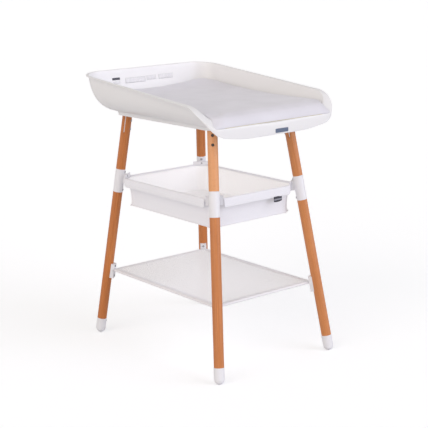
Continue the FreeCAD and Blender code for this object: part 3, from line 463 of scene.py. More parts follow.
def close_ends(bm):
    """Closes every open edge loop with one face."""
    bmesh.ops.holes_fill(bm, edges=[edge for edge in bm.edges if edge.is_boundary], sides=0)


def add_modifier(piece, kind, name, **settings):
    """Adds a modifier with its settings."""
    modifier = piece.modifiers.new(name, kind)
    for key, value in settings.items():
        setattr(modifier, key, value)


def ease(share):
    """Smooth step from 0 to 1."""
    share = min(max(share, 0.0), 1.0)
    return share * share * (3 - 2 * share)


def tube_along(name, places, radius, material, body="table"):
    """Closed round cord that follows a line of points: a binding, or the cord whose colour is
    painted shadow in the gap round the mat.
    """
    curve = bpy.data.curves.new(name + "_line", "CURVE")
    curve.dimensions = "3D"
    spline = curve.splines.new("POLY")
    spline.points.add(len(places) - 1)
    for point, place in zip(spline.points, places):
        point.co = (*place, 1.0)
    spline.use_cyclic_u = True
    curve.bevel_depth = radius
    curve.bevel_resolution = 3
    holder = bpy.data.objects.new(name + "_holder", curve)
    bm = bmesh.new()
    bm.from_mesh(bpy.data.meshes.new_from_object(holder))
    bpy.data.objects.remove(holder)
    bpy.data.curves.remove(curve)
    tidy(bm)
    return finish_piece(name, bm, material, body)


# ---------------------------------------------------------------------- the tub

def outline(part, share, half_x, front, back, front_radius, back_radius):
    """Point on the right half of a rounded outline. Its parts run from the middle of
    the back: straight, corner, side, corner, straight to the middle of the front."""
    turn = share * math.pi / 2
    if part == 0:
        return share * (half_x - back_radius), back
    if part == 1:
        return (half_x - back_radius * (1 - math.sin(turn)),
                back - back_radius * (1 - math.cos(turn)))
    if part == 2:
        start = back - back_radius
        return half_x, start + (-(front - front_radius) - start) * share
    if part == 3:
        return (half_x - front_radius * (1 - math.cos(turn)),
                -front + front_radius * (1 - math.sin(turn)))
    return (1 - share) * (half_x - front_radius), -front


def stations(counts):
    """Places along the right half of an outline: (part, share) with a count per part."""
    places = [(part, step / count) for part, count in enumerate(counts)
              for step in range(count)]
    return places + [(len(counts) - 1, 1.0)]


class Bowl:
    """The tub's shape: level outlines that narrow towards the floor, and its rim."""

    WALL_CURVE = 1.9  # a higher power makes the floor flatter and the wall steeper
    DROP_CURVE = 0.55  # a lower power lets the rim fall later and faster
    LIP_FROM, LIP_OVER = 3.18, 1.35  # where the flange turns into the lip, in parts
    CROWDING = 1.7  # crowds rows of points towards the floor, where the wall turns
    FLANGE_ROUND, FLANGE_DROP = 2.2 * MM, 4 * MM  # edge of the flange beside the lip
    UNDER = 3.9 * MM  # the flange's underside below its top

    def __init__(self, sizes):
        low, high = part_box("tub_shell")
        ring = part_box("under_frame")[1]
        self.sizes = sizes
        self.half_x = high.x
        self.half_y = high.y
        self.bottom = ring.z
        self.floor = ring.z + sizes.wall
        self.lip_low = low.z
        self.back_top = high.z
        self.pull_x = high.x - sizes.flange - ring.x - sizes.ledge
        self.pull_y = high.y - sizes.flange - ring.y - sizes.ledge
        self.rise = high.z - self.floor + sizes.over + sizes.wall

    def pull(self, height):
        """How far in the wall stands at a height above the floor, from 1 to 0."""
        share = min(max(height / self.rise, 0.0), 1.0)
        return (1 - math.sqrt(share)) ** self.WALL_CURVE

    def at(self, station, inset, height):
        """Level place on the wall's outline at a station, inset from the rim."""
        pull = self.pull(height) if inset > 0 else 0.0
        return outline(*station, self.half_x - inset - self.pull_x * pull,
                       self.half_y - inset, self.half_y - inset - self.pull_y * pull,
                       self.sizes.front_radius - inset, self.sizes.back_radius - inset)

    def rim(self, station):
        """Height of the rim: a slope from the back, then an S-curve to the front."""
        y = self.at(station, 0.0, 0.0)[1]
        start = self.sizes.drop_start - self.half_y
        end = self.sizes.drop_end - self.half_y
        side_top = self.floor + self.sizes.side_rise
        slope = side_top + (self.back_top - side_top) * (y - start) / (self.half_y - start)
        share = min(max((y - end) / (start - end), 0.0), 1.0)
        return self.floor + (slope - self.floor) * ease(share ** self.DROP_CURVE)

    def lip(self, station):
        """0 where the rim is a thin flange, 1 where it turns down as the front lip."""
        part, share = station
        return ease((part + share - self.LIP_FROM) / self.LIP_OVER)

    def profile(self, station):
        """Section of the tub at a station, from its floor over the rim to its base."""
        sizes = self.sizes
        top = self.rim(station)
        lip = self.lip(station)
        inside = sizes.flange + sizes.wall
        tall = max(top - 2 * MM - self.floor, 0.4 * MM)
        line = []
        for step in range(13):
            height = tall * (step / 12) ** self.CROWDING
            line.append((*self.at(station, inside, height), self.floor + height))
        inner = Vector(line[-1][:2])
        outer = Vector(self.at(station, 0.0, 0.0))
        width = (outer - inner).length
        edge = self.FLANGE_ROUND + (sizes.lip_round - self.FLANGE_ROUND) * lip
        drop = self.FLANGE_DROP + (self.floor - self.lip_low - self.FLANGE_DROP) * lip
        # Across the flange: millimetres out from the wall's top, and up.
        across = [(0.5 * MM, -0.7 * MM), (1.8 * MM, 0.0), (width * 0.5, 0.2 * MM)]
        for step in range(5):
            turn = math.radians(90 * step / 4)
            across.append((width - edge + edge * math.sin(turn),
                           edge * (math.cos(turn) - 1)))
        fall = max(drop - 1.4 * MM, edge + 0.1 * MM)
        across += [(width, -(edge + (fall - edge) * share)) for share in (0.33, 0.67, 1.0)]
        across += [(width - 0.5 * MM, -(drop - 0.3 * MM)), (width - 1.5 * MM, -drop),
                   (width - 2.6 * MM, -drop), (width - 3.5 * MM, -(drop - 0.5 * MM))]
        across += [(width - 3.9 * MM - 0.4 * MM * lip,
                    -(self.UNDER + (drop - self.UNDER) * 0.45)),
                   (width - 4.4 * MM - 2 * MM * lip, -(self.UNDER + 2.5 * MM * lip)),
                   (width - 5.5 * MM - 4 * MM * lip, -self.UNDER)]
        direction = (outer - inner).normalized()
        for out, up in across:
            place = inner + direction * out
            line.append((place.x, place.y, top + up))
        base_top = max(top - self.UNDER, self.bottom + 0.1 * MM)
        for step in range(12):
            height = (base_top - self.bottom) * (1 - step / 11) ** self.CROWDING
            place = self.at(station, sizes.flange, height)
            line.append((*place, self.bottom + height))
        return line


def build_tub(colours, sizes):
    """Tub as one swept skin, from its floor over the rim to the ring below."""
    bowl = Bowl(sizes)
    rows = [bowl.profile(station) for station in stations((12, 24, 56, 60, 20))]
    bm = sweep(rows)
    mirror_left(bm)
    close_ends(bm)
    tidy(bm)
    tub = finish_piece("tub", bm, moulded_abs("moulded_abs_tub", colours.plastic, 0.36),
                       sharp=50)
    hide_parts("tub_shell")


# ---------------------------------------------------------------------- the mat

class Cushion:
    """The mat's form: it lines the tub, climbs its walls at the back, and rolls over
    the low front edge."""

    ROLL_BELOW, ROLL_OVER = 36 * MM, 35 * MM  # rim above the floor where it starts to roll
    BACK_FROM, BACK_OVER = -0.1, 0.42  # along Y, where the edge climbs to the back
    DIP_HALF, DIP = 0.23, 0.55  # half width and share of the dip in the back edge
    # Points of a section: shares of the way up the side, then millimetres inwards from
    # the edge with the share of its height over the middle.
    SIDE = (0.0, 0.06, 0.18, 0.36, 0.56, 0.76, 0.92)
    CREST = ((1, 0.75), (4, 0.93), (10, 1.0), (22, 0.94), (40, 0.7), (65, 0.35), (95, 0.1),
             (130, 0.0))
    # The same points in the roll over the lip: millimetres out from the wall and up.
    ROLL = ((-8, 1), (6.0, 0.6), (11.5, -0.6), (15.0, -3.4), (17.4, -3.6), (18.4, 1.0),
            (17.6, 9.0), (15.4, 18.0), (11.8, 26.0), (6.0, 33.6), (-2.0, 39.0),
            (-13.0, 41.6), (-34.0, 42), (-70.0, 42), (-115.0, 42))

    def __init__(self, sizes, tub_sizes):
        self.bowl = Bowl(tub_sizes)
        self.sizes = sizes
        self.inset = tub_sizes.flange + tub_sizes.wall + sizes.gap
        self.low = self.bowl.floor + 1.0 * MM
        self.middle = self.bowl.floor + sizes.middle_height

    def front(self, station):
        """0 where the mat lies inside the wall, 1 where it rolls over the rim."""
        return ease((self.bowl.floor + self.ROLL_BELOW - self.bowl.rim(station))
                    / self.ROLL_OVER)

    def rest(self, place):
        """Lowest height the cover can have: the floor, or the lip's rounded edge."""
        lip_round = self.bowl.sizes.lip_round
        over = min(max(-place.y - (self.bowl.half_y - lip_round), 0.0), lip_round)
        return self.low - (lip_round - math.sqrt(lip_round ** 2 - over ** 2))

    def edge(self, station):
        """Height of the mat's edge: it dips in the middle of the back and rises
        towards the back corners."""
        x, y = self.bowl.at(station, self.inset, 50 * MM)
        side = max((y - self.BACK_FROM) / self.BACK_OVER, 0.0) ** 1.6
        dip = self.DIP * (1 - min(abs(x) / self.DIP_HALF, 1.0) ** 2.2)
        return (self.bowl.floor + self.sizes.side_height
                + self.sizes.back_rise * min(side, 1.0) * (1 - dip))

    def section(self, station):
        """Section of the mat at a station, from its underside to its top."""
        front = self.front(station)
        edge = self.edge(station)
        line = []
        for share in self.SIDE:
            height = self.low + (edge - 6 * MM - self.low) * share
            place = Vector(self.bowl.at(station, self.inset, height - self.bowl.floor))
            line.append((place, height))
        top = Vector(self.bowl.at(station, self.inset, edge - self.bowl.floor))
        inwards = Vector((-top.x * 0.7, -top.y)).normalized()
        for inset, rise in self.CREST:
            base = self.middle if inset > 10 else edge - 6 * MM
            line.append((top + inwards * (inset * MM), base + (edge - base) * rise))
        if front <= 0:
            return [(*place, height) for place, height in line]
        reach = self.bowl.half_y - self.inset
        shaped = []
        for (place, height), (out, up) in zip(line, self.ROLL):
            outer = Vector(self.bowl.at(station, self.inset - out * MM, 30 * MM))
            if out < 0:
                outer = (Vector(self.bowl.at(station, self.inset, 30 * MM))
                         + inwards * (-out * MM))
            rolled = self.bowl.floor + up * MM
            spot = place.lerp(outer, front)
            shaped.append((spot.x, max(spot.y, -reach - 16 * MM),
                           height + (rolled - height) * front))
        return shaped


def remeshed(name, bm, voxel):
    """Closed form rebuilt with even faces of one size, ready for cloth."""
    mesh = bpy.data.meshes.new(name)
    bm.to_mesh(mesh)
    bm.free()
    holder = bpy.data.objects.new(name, mesh)
    bpy.context.scene.collection.objects.link(holder)
    add_modifier(holder, "REMESH", "even", mode="VOXEL", voxel_size=voxel)
    graph = bpy.context.evaluated_depsgraph_get()
    even = bpy.data.meshes.new_from_object(holder.evaluated_get(graph))
    bpy.data.objects.remove(holder)
    return even


def inflate(mesh, low, cap):
    """Swells the cover with cloth under pressure, its underside held, and keeps each
    point within the cap of where it started."""
    holder = bpy.data.objects.new("inflated", mesh)
    scene = bpy.context.scene
    scene.collection.objects.link(holder)
    held = holder.vertex_groups.new(name="held")
    held.add([vert.index for vert in mesh.vertices if vert.co.z < low + 4 * MM], 1.0, "ADD")
    start = [vert.co.copy() for vert in mesh.vertices]
    cloth = holder.modifiers.new("cloth", "CLOTH")
    cloth.settings.quality = 4
    cloth.settings.mass = 0.2
    cloth.settings.tension_stiffness = 20
    cloth.settings.compression_stiffness = 20
    cloth.settings.bending_stiffness = 4
    cloth.settings.use_pressure = True
    cloth.settings.uniform_pressure_force = 4
    cloth.settings.vertex_group_mass = "held"
    cloth.settings.effector_weights.gravity = 0
    for number in range(1, CLOTH_FRAMES + 1):
        scene.frame_set(number)
    graph = bpy.context.evaluated_depsgraph_get()
    swollen = bpy.data.meshes.new_from_object(holder.evaluated_get(graph))
    scene.frame_set(1)
    bpy.data.objects.remove(holder)
    for vert, origin in zip(swollen.vertices, start):
        move = vert.co - origin
        if move.length > cap:
            move = move.normalized() * cap
        vert.co = origin + move
    return swollen


def build_mat(colours, sizes, tub_sizes):
    """Padded mat: a closed cover, filled under pressure and then smoothed."""
    cushion = Cushion(sizes, tub_sizes)
    bm = sweep([cushion.section(station) for station in stations((8, 12, 30, 24, 10))])
    mirror_left(bm)
    close_ends(bm)
    tidy(bm)
    mesh = remeshed("mat_cover", bm, sizes.voxel)
    mesh = inflate(mesh, cushion.low, sizes.swell)
    bm = bmesh.new()
    bm.from_mesh(mesh)
    for _ in range(3):
        bmesh.ops.smooth_vert(bm, verts=bm.verts, factor=0.5, use_axis_x=True,
                              use_axis_y=True, use_axis_z=True)
    for vert in bm.verts:  # the filling leaves the top a little uneven
        if vert.co.z > cushion.low + 20 * MM:
            vert.co.z += (1.3 * MM * noise.noise(vert.co * 9)
                          + 0.5 * MM * noise.noise(vert.co * 31))
        vert.co.z = max(vert.co.z, cushion.rest(vert.co))
    mat = finish_piece("mat", bm, coated_jersey("coated_jersey", colours.cover),
                       body="mat")
    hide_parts("changing_mat")
    add_modifier(mat, "SUBSURF", "smooth", levels=1, render_levels=1)
    return cushion, mat


def build_mat_gap_shadow(colours, cushion, mat):
    """Cord that runs round the mat low on its side; its tan colour is painted shadow, the dark
    line in the gap where the mat meets the lip.
    """
    graph = bpy.context.evaluated_depsgraph_get()
    surface = BVHTree.FromObject(mat.evaluated_get(graph), graph)
    right = []
    for station in stations((6, 10, 30, 20, 10)):
        out = 16 * MM * cushion.front(station)
        x, y = cushion.bowl.at(station, cushion.inset - out, 20 * MM)
        low = cushion.bowl.floor + 14 * MM - out
        right.append(surface.find_nearest((x, y, low))[0])
    left = [Vector((-place.x, place.y, place.z)) for place in right[-2:0:-1]]
    # The tan cord is painted shadow of the gap between the mat and the lip.
    tube_along("mat_gap_shadow", right + left, 0.9 * MM,
               woven_tape("painted_gap_shadow", linear("#CFC6A8"), 1.2), body="mat")


# ------------------------------------------------------------- plate and prints

def build_plate(colours):
    """Small blank plate on the lip: a bevelled slab with a sunk middle panel."""
    low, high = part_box("badge_plate")
    middle = (low + high) / 2
    size = high - low
    bm = bmesh.new()
    bmesh.ops.create_cube(bm, size=1.0, matrix=Matrix.Translation(middle)
                          @ Matrix.Diagonal((size.x, size.y, size.z, 1.0)))
    upright = [edge for edge in bm.edges
               if abs(edge.verts[0].co.y - edge.verts[1].co.y) > size.y / 2]
    bmesh.ops.bevel(bm, geom=upright, offset=2 * MM, segments=4, profile=0.5,
                    affect="EDGES", material=-1)
    face = min(bm.faces, key=lambda item: item.calc_center_median().y)
    bmesh.ops.bevel(bm, geom=list(face.edges), offset=0.3 * MM, segments=2, profile=0.5,
                    affect="EDGES", material=-1)
    face = min(bm.faces, key=lambda item: (item.calc_center_median().y, -item.calc_area()))
    bmesh.ops.inset_region(bm, faces=[face], thickness=1.2 * MM, depth=0.0)
    bmesh.ops.inset_region(bm, faces=[face], thickness=0.3 * MM, depth=-0.3 * MM)
    bmesh.ops.recalc_face_normals(bm, faces=bm.faces)
    plate = finish_piece("plate", bm, moulded_abs("printed_abs_plate", colours.plate, 0.4),
                         sharp=30)
    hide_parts("badge_plate")


def build_prints(colours, tub_sizes):
    """Blank printed fields inside the back wall, thin patches that follow its curve."""
    bowl = Bowl(tub_sizes)
    inside = tub_sizes.flange + tub_sizes.wall
    dark = moulded_abs("printed_dark_bar", linear("#3C3C48"), 0.45)
    pale = ruled_print("screen_printed_rules", colours.plastic, linear("#CDCCD1"), 3.6)
    # name, place across and above the tub's floor, width and height in millimetres
    fields = (("print_bar", -136, 96.5, 34, 8.5, dark), ("print_rules_a", -135, 83, 32, 9, pale),
              ("print_rules_b", -50, 86, 92, 20, pale), ("print_rules_c", 24, 89, 44, 16, pale),
              ("print_rules_d", 92, 89, 68, 18, pale))
    for name, centre, height, wide, tall, material in fields:
        rows = []
        for step in range(13):
            x = (centre + wide * (step / 12 - 0.5)) * MM
            row = []
            for level in range(5):
                up = (height + tall * (level / 4 - 0.5)) * MM
                back = bowl.half_y - inside - bowl.pull_y * bowl.pull(up)
                row.append((x, back - 0.25 * MM, bowl.floor + up))
            rows.append(row)
        bm = sweep(rows)
        face_towards(bm, Vector((0, -1, 0)))
        piece = finish_piece(name, bm, material)
        add_modifier(piece, "SOLIDIFY", "film", thickness=0.2 * MM, offset=0.0)


# ------------------------------------------------------------------- the basket

class Tray:
    """The basket's tray: an oblong with cut corners that leans in towards its floor."""

    def __init__(self, sizes):
        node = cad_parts["basket_fabric"]
        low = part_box("basket_fabric")[0].z
        floor = [vert.co for vert in node.data.vertices if vert.co.z < low + 0.1 * MM]
        self.low_x = max(place.x for place in floor)
        self.low_y = max(place.y for place in floor)
        cut_y = max(place.y for place in floor if place.x > self.low_x - 0.1 * MM)
        cut_x = max(place.x for place in floor if place.y > self.low_y - 0.1 * MM)
        self.outwards = Vector((self.low_y - cut_y, self.low_x - cut_x)).normalized()
        self.low_cut = self.outwards.dot((cut_x, self.low_y))
        self.sizes = sizes
        self.low = low
        side_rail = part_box("basket_rail_right")
        back_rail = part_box("basket_rail_back")
        self.rail_r = (side_rail[1].x - side_rail[0].x) / 2
        self.rail_x = side_rail[0].x + self.rail_r
        self.rail_y = back_rail[0].y + self.rail_r
        self.rail_z = (side_rail[0].z + side_rail[1].z) / 2
        self.high_x = self.rail_x - self.rail_r - 1.0 * MM
        self.high_y = self.rail_y - self.rail_r - 1.0 * MM
        self.high = self.rail_z + 1 * MM

    def corners(self, share, inset=0.0):
        """The eight corners of the outline at a share of the height."""
        draw = self.sizes.drawn_in * math.sin(math.pi * share) ** 0.8 + inset
        flare = 2.0 * MM * (1 - min(share / 0.12, 1.0)) ** 2
        half_x = self.low_x + (self.high_x - self.low_x) * share - draw + flare
        half_y = self.low_y + (self.high_y - self.low_y) * share - draw + flare
        limit = self.low_cut + self.sizes.corner_taper * share - draw + flare
        cut_x = (limit - half_y * self.outwards.y) / self.outwards.x
        cut_y = (limit - half_x * self.outwards.x) / self.outwards.y
        quarter = [(half_x, cut_y), (cut_x, half_y)]
        right_back = [Vector(spot) for spot in quarter]
        left_back = [Vector((-spot.x, spot.y)) for spot in reversed(right_back)]
        left_front = [-spot for spot in right_back]
        right_front = [-spot for spot in left_back]
        return right_back + left_back + left_front + right_front

    def ring(self, share, inset=0.0, round_off=6 * MM):
        """Closed outline at a share of the height, its corners a little rounded."""
        spots = self.corners(share, inset)
        height = self.low + (self.high - self.low) * share
        places = []
        for index, spot in enumerate(spots):
            after = spots[(index + 1) % len(spots)]
            before = spots[index - 1]
            way_in = (before - spot).normalized() * round_off
            way_out = (after - spot).normalized() * round_off
            for turn in (0.0, 0.5, 1.0):
                inner = (spot + way_in).lerp(spot, turn)
                outer = spot.lerp(spot + way_out, turn)
                places.append((*inner.lerp(outer, turn), height))
            steps = 3 if index % 2 == 0 else 22
            start, end = spot + way_out, after + (spot - after).normalized() * round_off
            for step in range(1, steps):
                places.append((*start.lerp(end, step / steps), height))
        return places


def build_tray(colours, sizes, mesh_material):
    """Mesh tray with its floor and the bound edge round it, all in one cloth."""
    tray = Tray(sizes)
    rows = [[(x * size, y * size, z) for x, y, z in tray.ring(0.0)]
            for size in (0.05, 0.35, 0.65, 0.88, 0.97)]
    rows += [tray.ring(share) for share in (0.0, 0.03, 0.07, 0.13, 0.22, 0.34, 0.48, 0.62,
                                            0.76, 0.88, 0.96, 1.0)]
    bm = sweep(rows, loop=True)
    middle = [edge for edge in bm.edges if edge.is_boundary
              and edge.verts[0].co.z < tray.low + 1 * MM]
    bmesh.ops.holes_fill(bm, edges=middle, sides=0)
    bmesh.ops.recalc_face_normals(bm, faces=bm.faces)
    piece = finish_piece("basket_mesh", bm, mesh_material, weave=by_facing)
    # Inside, the same mesh takes the paler shelf tint and a stronger glow: painted light that
    # lifts the inside, which lies in the tub's shade.
    piece.data.materials.append(open_mesh("basket_warp_knit_inside_painted_light", colours.shelf, 0.1, 2.0,
                                          glow=0.18))
    add_modifier(piece, "SOLIDIFY", "cloth", thickness=sizes.skin, offset=-1.0,
                 material_offset=1)
    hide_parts("basket_fabric")
    tape = woven_tape("binding_tape", colours.tape, 0.9)
    edge = tube_along("basket_binding", [Vector(spot) + Vector((0, 0, 0.6 * MM))
                                         for spot in tray.ring(0.0)],
                      sizes.binding, tape)
    return tray, tape


def stitch_row(bm, places, normal, thread):
    """Short raised stitches at each place, lying along the row."""
    for before, place in zip(places, places[1:]):
        along = place - before
        spin = along.to_track_quat("X", "Z").to_matrix().to_4x4()
        spot = (place + before) / 2 + normal * thread * 0.4
        shape = Matrix.Diagonal((along.length * 0.36, thread, thread, 1.0))
        bmesh.ops.create_icosphere(bm, subdivisions=1, radius=1.0,
                                   matrix=Matrix.Translation(spot) @ spin @ shape)


def build_flap(side, tray, sizes, colours, mesh_material, tape, stitches):
    """Top edge of the mesh folded over one rail and hemmed on the outside."""
    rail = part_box("basket_rail_" + side)
    level = side in ("back", "front")
    sign = 1 if side in ("back", "right") else -1
    out = Vector((0, sign, 0)) if level else Vector((sign, 0, 0))
    along = Vector((1, 0, 0)) if level else Vector((0, 1, 0))
    half = (rail[1].x if level else rail[1].y) - 9 * MM
    centre = Vector((0, 0, tray.rail_z)) + out * (tray.rail_y if level else tray.rail_x)
    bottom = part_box("basket_fabric")[1].z - 32 * MM
    reach = tray.rail_r + 0.5 * MM

    def section(place, inset, low_share):
        """Line from inside the rail, over it and down to the flap's lower edge."""
        radius = reach + inset
        from_end = min(half - abs(place), sizes.flap_corner)
        lift = sizes.flap_corner - math.sqrt(max(
            sizes.flap_corner ** 2 - (sizes.flap_corner - from_end) ** 2, 0.0))
        low = bottom + lift
        ripple = 0.7 * MM * noise.noise(Vector((place * 22, sign, 3.0 if level else 7.0)))
        spots = []
        if low_share <= 0:
            spots += [(-radius, -14 * MM), (-radius, -9 * MM), (-radius, -4 * MM)]
            spots += [(-radius * math.cos(math.radians(turn)),
                       radius * math.sin(math.radians(turn))) for turn in range(0, 181, 20)]
        first = 0.12 if low_share <= 0 else 1 - low_share
        for step in range(7):
            share = first + (1 - first) * step / 6
            bulge = 0.9 * MM * math.sin(math.pi * share) + (1.2 * MM + ripple) * share ** 2
            spots.append((radius + bulge, (low - tray.rail_z) * share))
        return [centre + along * place + out * away + Vector((0, 0, up)) for away, up in spots]

    count = int(half * 2 / (9 * MM))
    places = [-half + half * 2 * step / count for step in range(count + 1)]
    ends = [half - sizes.flap_corner * share for share in (0.15, 0.4, 0.7)]
    places = sorted(set(places + ends + [-end for end in ends]))
    bm = sweep([section(place, 0.0, 0.0) for place in places])
    face_towards(bm, out)
    flap = finish_piece("basket_flap_" + side, bm, mesh_material,
                        weave=by_facing)
    add_modifier(flap, "SOLIDIFY", "cloth", thickness=sizes.skin, offset=1.0)

    share = sizes.hem / (tray.rail_z - bottom)
    bm = sweep([section(place, 1.2 * MM, share) for place in places])
    face_towards(bm, out)
    hem = finish_piece("basket_hem_" + side, bm, mesh_material,
                       weave=by_facing)
    add_modifier(hem, "SOLIDIFY", "cloth", thickness=0.6 * MM, offset=0.0)

    steps = int((half * 2 - sizes.flap_corner * 2) / sizes.stitch)
    row = [section((step / steps - 0.5) * 2 * (half - sizes.flap_corner), 1.7 * MM, share)[0]
           - Vector((0, 0, 2.2 * MM)) for step in range(steps + 1)]
    stitch_row(stitches, row, out, 0.45 * MM)


def build_label(colours):
    """Woven label: a short loop of tape, folded at its lower edge, sewn under the
    front flap."""
    low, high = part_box("basket_tag")
    middle = (low.x + high.x) / 2
    half = (high.x - low.x) / 2
    face = low.y
    rows = []
    for step in range(15):
        x = -1 + step / 7
        sag = 2.2 * MM * (1 - x * x) - 0.8 * MM * x
        lean = 0.5 * MM * math.sin(x * 2.2)
        bottom = low.z + 2.4 * MM - sag
        front = face - 2.4 * MM + lean
        line = [(front + 1.4 * MM, high.z), (front + 0.7 * MM, high.z - 5 * MM),
                (front + 0.2 * MM, high.z - 11 * MM), (front, bottom + 1.2 * MM),
                (front + 0.3 * MM, bottom + 0.4 * MM), (front + 0.9 * MM, bottom),
                (front + 1.5 * MM, bottom + 0.5 * MM), (front + 1.7 * MM, bottom + 1.4 * MM),
                (front + 1.9 * MM, high.z - 11 * MM), (front + 2.2 * MM, high.z)]
        rows.append([(middle + x * half * (1 - 0.03 * abs(x)), y, z) for y, z in line])
    bm = sweep(rows)
    face_towards(bm, Vector((0, -1, 0)))
    stripe = low.z + 6.5 * MM
    label = finish_piece("basket_label", bm, striped_label(
        "damask_label", colours.label, linear("#B9B9C4"), stripe, stripe + 5.5 * MM))
    add_modifier(label, "SOLIDIFY", "cloth", thickness=0.5 * MM, offset=0.0)
    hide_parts("basket_tag")


def build_tabs(tray, tape):
    """Small folded tabs where the binding's ends are sewn in at the cut corners."""
    bm = bmesh.new()
    spots = tray.corners(0.0)
    for index, spot in enumerate(spots):
        other = spots[index ^ 1]
        along = (other - spot).normalized()
        place = spot + along * 3 * MM
        turn = Matrix.Rotation(math.atan2(along.y, along.x), 4, "Z")
        made = bmesh.ops.create_cube(bm, size=1.0, matrix=Matrix.Translation(
            (place.x, place.y, tray.low - 0.5 * MM)) @ turn
            @ Matrix.Diagonal((7 * MM, 2.6 * MM, 5 * MM, 1.0)))
        edges = {edge for vert in made["verts"] for edge in vert.link_edges}
        bmesh.ops.bevel(bm, geom=list(edges), offset=0.8 * MM, segments=2, profile=0.5,
                        affect="EDGES", material=-1)
    finish_piece("basket_tabs", bm, tape, sharp=40)


# -------------------------------------------------------------------- the shelf

def build_shelf(colours, sizes, mesh_material, tape):
    """Mesh stretched from rail to rail, with a hem that wraps them and its stitches."""
    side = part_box("shelf_rail_right")
    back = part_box("shelf_rail_back")
    radius = (back[1].z - back[0].z) / 2
    half_x = side[1].x - radius
    half_y = back[1].y - radius
    height = (back[0].z + back[1].z) / 2
    top = height + radius + 0.5 * MM

    bm = bmesh.new()
    bmesh.ops.create_grid(bm, x_segments=36, y_segments=52, size=1.0)
    for vert in bm.verts:
        x, y = vert.co.x, vert.co.y
        dip = (sizes.sag * (1 - x ** 4) * (1 - y ** 4)
               + 3.2 * MM * ease((1 - max(abs(x), abs(y))) * 9))
        wave = 0.25 * MM * noise.noise(Vector((x * 3, y * 4, 0.0)))
        vert.co = (x * half_x, y * half_y, top - dip + wave)
    panel = finish_piece("shelf_sheet", bm, mesh_material, weave=by_facing)
    add_modifier(panel, "SOLIDIFY", "cloth", thickness=sizes.skin, offset=0.0)
    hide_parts("shelf_mesh")

    wrap = radius + 0.9 * MM
    line = [(-sizes.hem, top - height - 2.3 * MM), (-sizes.hem * 0.6, top - height - 0.7 * MM)]
    line += [(wrap * math.sin(math.radians(turn)), wrap * math.cos(math.radians(turn)))
             for turn in range(0, 181, 20)]
    line += [(-sizes.hem * 0.6, -wrap + 3.6 * MM), (-sizes.hem, 0.2 * MM)]
    spots = ((1, -1), (1, 1), (-1, 1), (-1, -1), (1, -1))
    rows = []
    for start, end in zip(spots, spots[1:]):
        for step in range(30):
            row = []
            for out, up in line:
                reach = Vector((half_x + out, half_y + out))
                row.append((*(reach * Vector(start)).lerp(reach * Vector(end), step / 30),
                            height + up))
            rows.append(row)
    rows.append(rows[0])
    bm = sweep(rows)
    tidy(bm)
    face_towards(bm, Vector((0, 0, -1)))
    hem = finish_piece("shelf_hem", bm, tape, sharp=50)
    add_modifier(hem, "SOLIDIFY", "cloth", thickness=0.7 * MM, offset=0.0)

    stitches = bmesh.new()
    inner = Vector((half_x - sizes.hem + 2.5 * MM, half_y - sizes.hem + 2.5 * MM))
    for start, end in zip(spots, spots[1:]):
        first, last = (Vector((*(inner * Vector(spot)), top - 1.3 * MM))
                       for spot in (start, end))
        steps = int((last - first).length / (6 * MM))
        stitch_row(stitches, [first.lerp(last, step / steps) for step in range(steps + 1)],
                   Vector((0, 0, 1)), 0.45 * MM)
    sewn = finish_piece("shelf_stitches", stitches, tape)


# --------------------------------------------------------------- the fasteners

def solids_of(node):
    """The points of each separate solid in a CAD node."""
    bm = bmesh.new()
    bm.from_mesh(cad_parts[node].data)
    bmesh.ops.remove_doubles(bm, verts=bm.verts, dist=0.001 * MM)
    left = set(bm.verts)
    groups = []
    while left:
        todo = [left.pop()]
        group = []
        while todo:
            vert = todo.pop()
            group.append(vert.co.copy())
            near = {edge.other_vert(vert) for edge in vert.link_edges} & left
            left -= near
            todo += near
        groups.append(group)
    bm.free()
    return groups


def bolt_of(points):
    """Seat, way out of the head and sizes of the bolt that a CAD solid stands for."""
    far = max(((a - b).length, index, other) for index, a in enumerate(points)
              for other, b in enumerate(points) if index < other)
    guess = points[far[1]] - points[far[2]]
    middle = sum(points, Vector()) / len(points)
    for _ in range(8):
        guess.normalize()
        high = max((point - middle).dot(guess) for point in points)
        low = min((point - middle).dot(guess) for point in points)
        ends = [[point for point in points if abs((point - middle).dot(guess) - end) < 0.4 * MM]
                for end in (high, low)]
        tips = [sum(end, Vector()) / len(end) for end in ends]
        guess = tips[0] - tips[1]
    axis = guess.normalized()
    centre = (tips[0] + tips[1]) / 2

    def away(point):
        offset = point - centre
        return (offset - axis * offset.dot(axis)).length

    widest = max(away(point) for point in points)
    brim = [(point - centre).dot(axis) for point in points if away(point) > widest * 0.98]
    seat = sum(brim) / len(brim)
    reach = [(point - centre).dot(axis) for point in points]
    if max(reach) - seat > seat - min(reach):
        axis = -axis
        seat = -seat
        reach = [-value for value in reach]
    shank = max(away(point) for point in points
                if (point - centre).dot(axis) < min(reach) + 0.3 * MM)
    return {"seat": centre + axis * seat, "out": axis, "head": widest, "shank": shank,
            "tall": max(reach) - seat, "deep": seat - min(reach)}


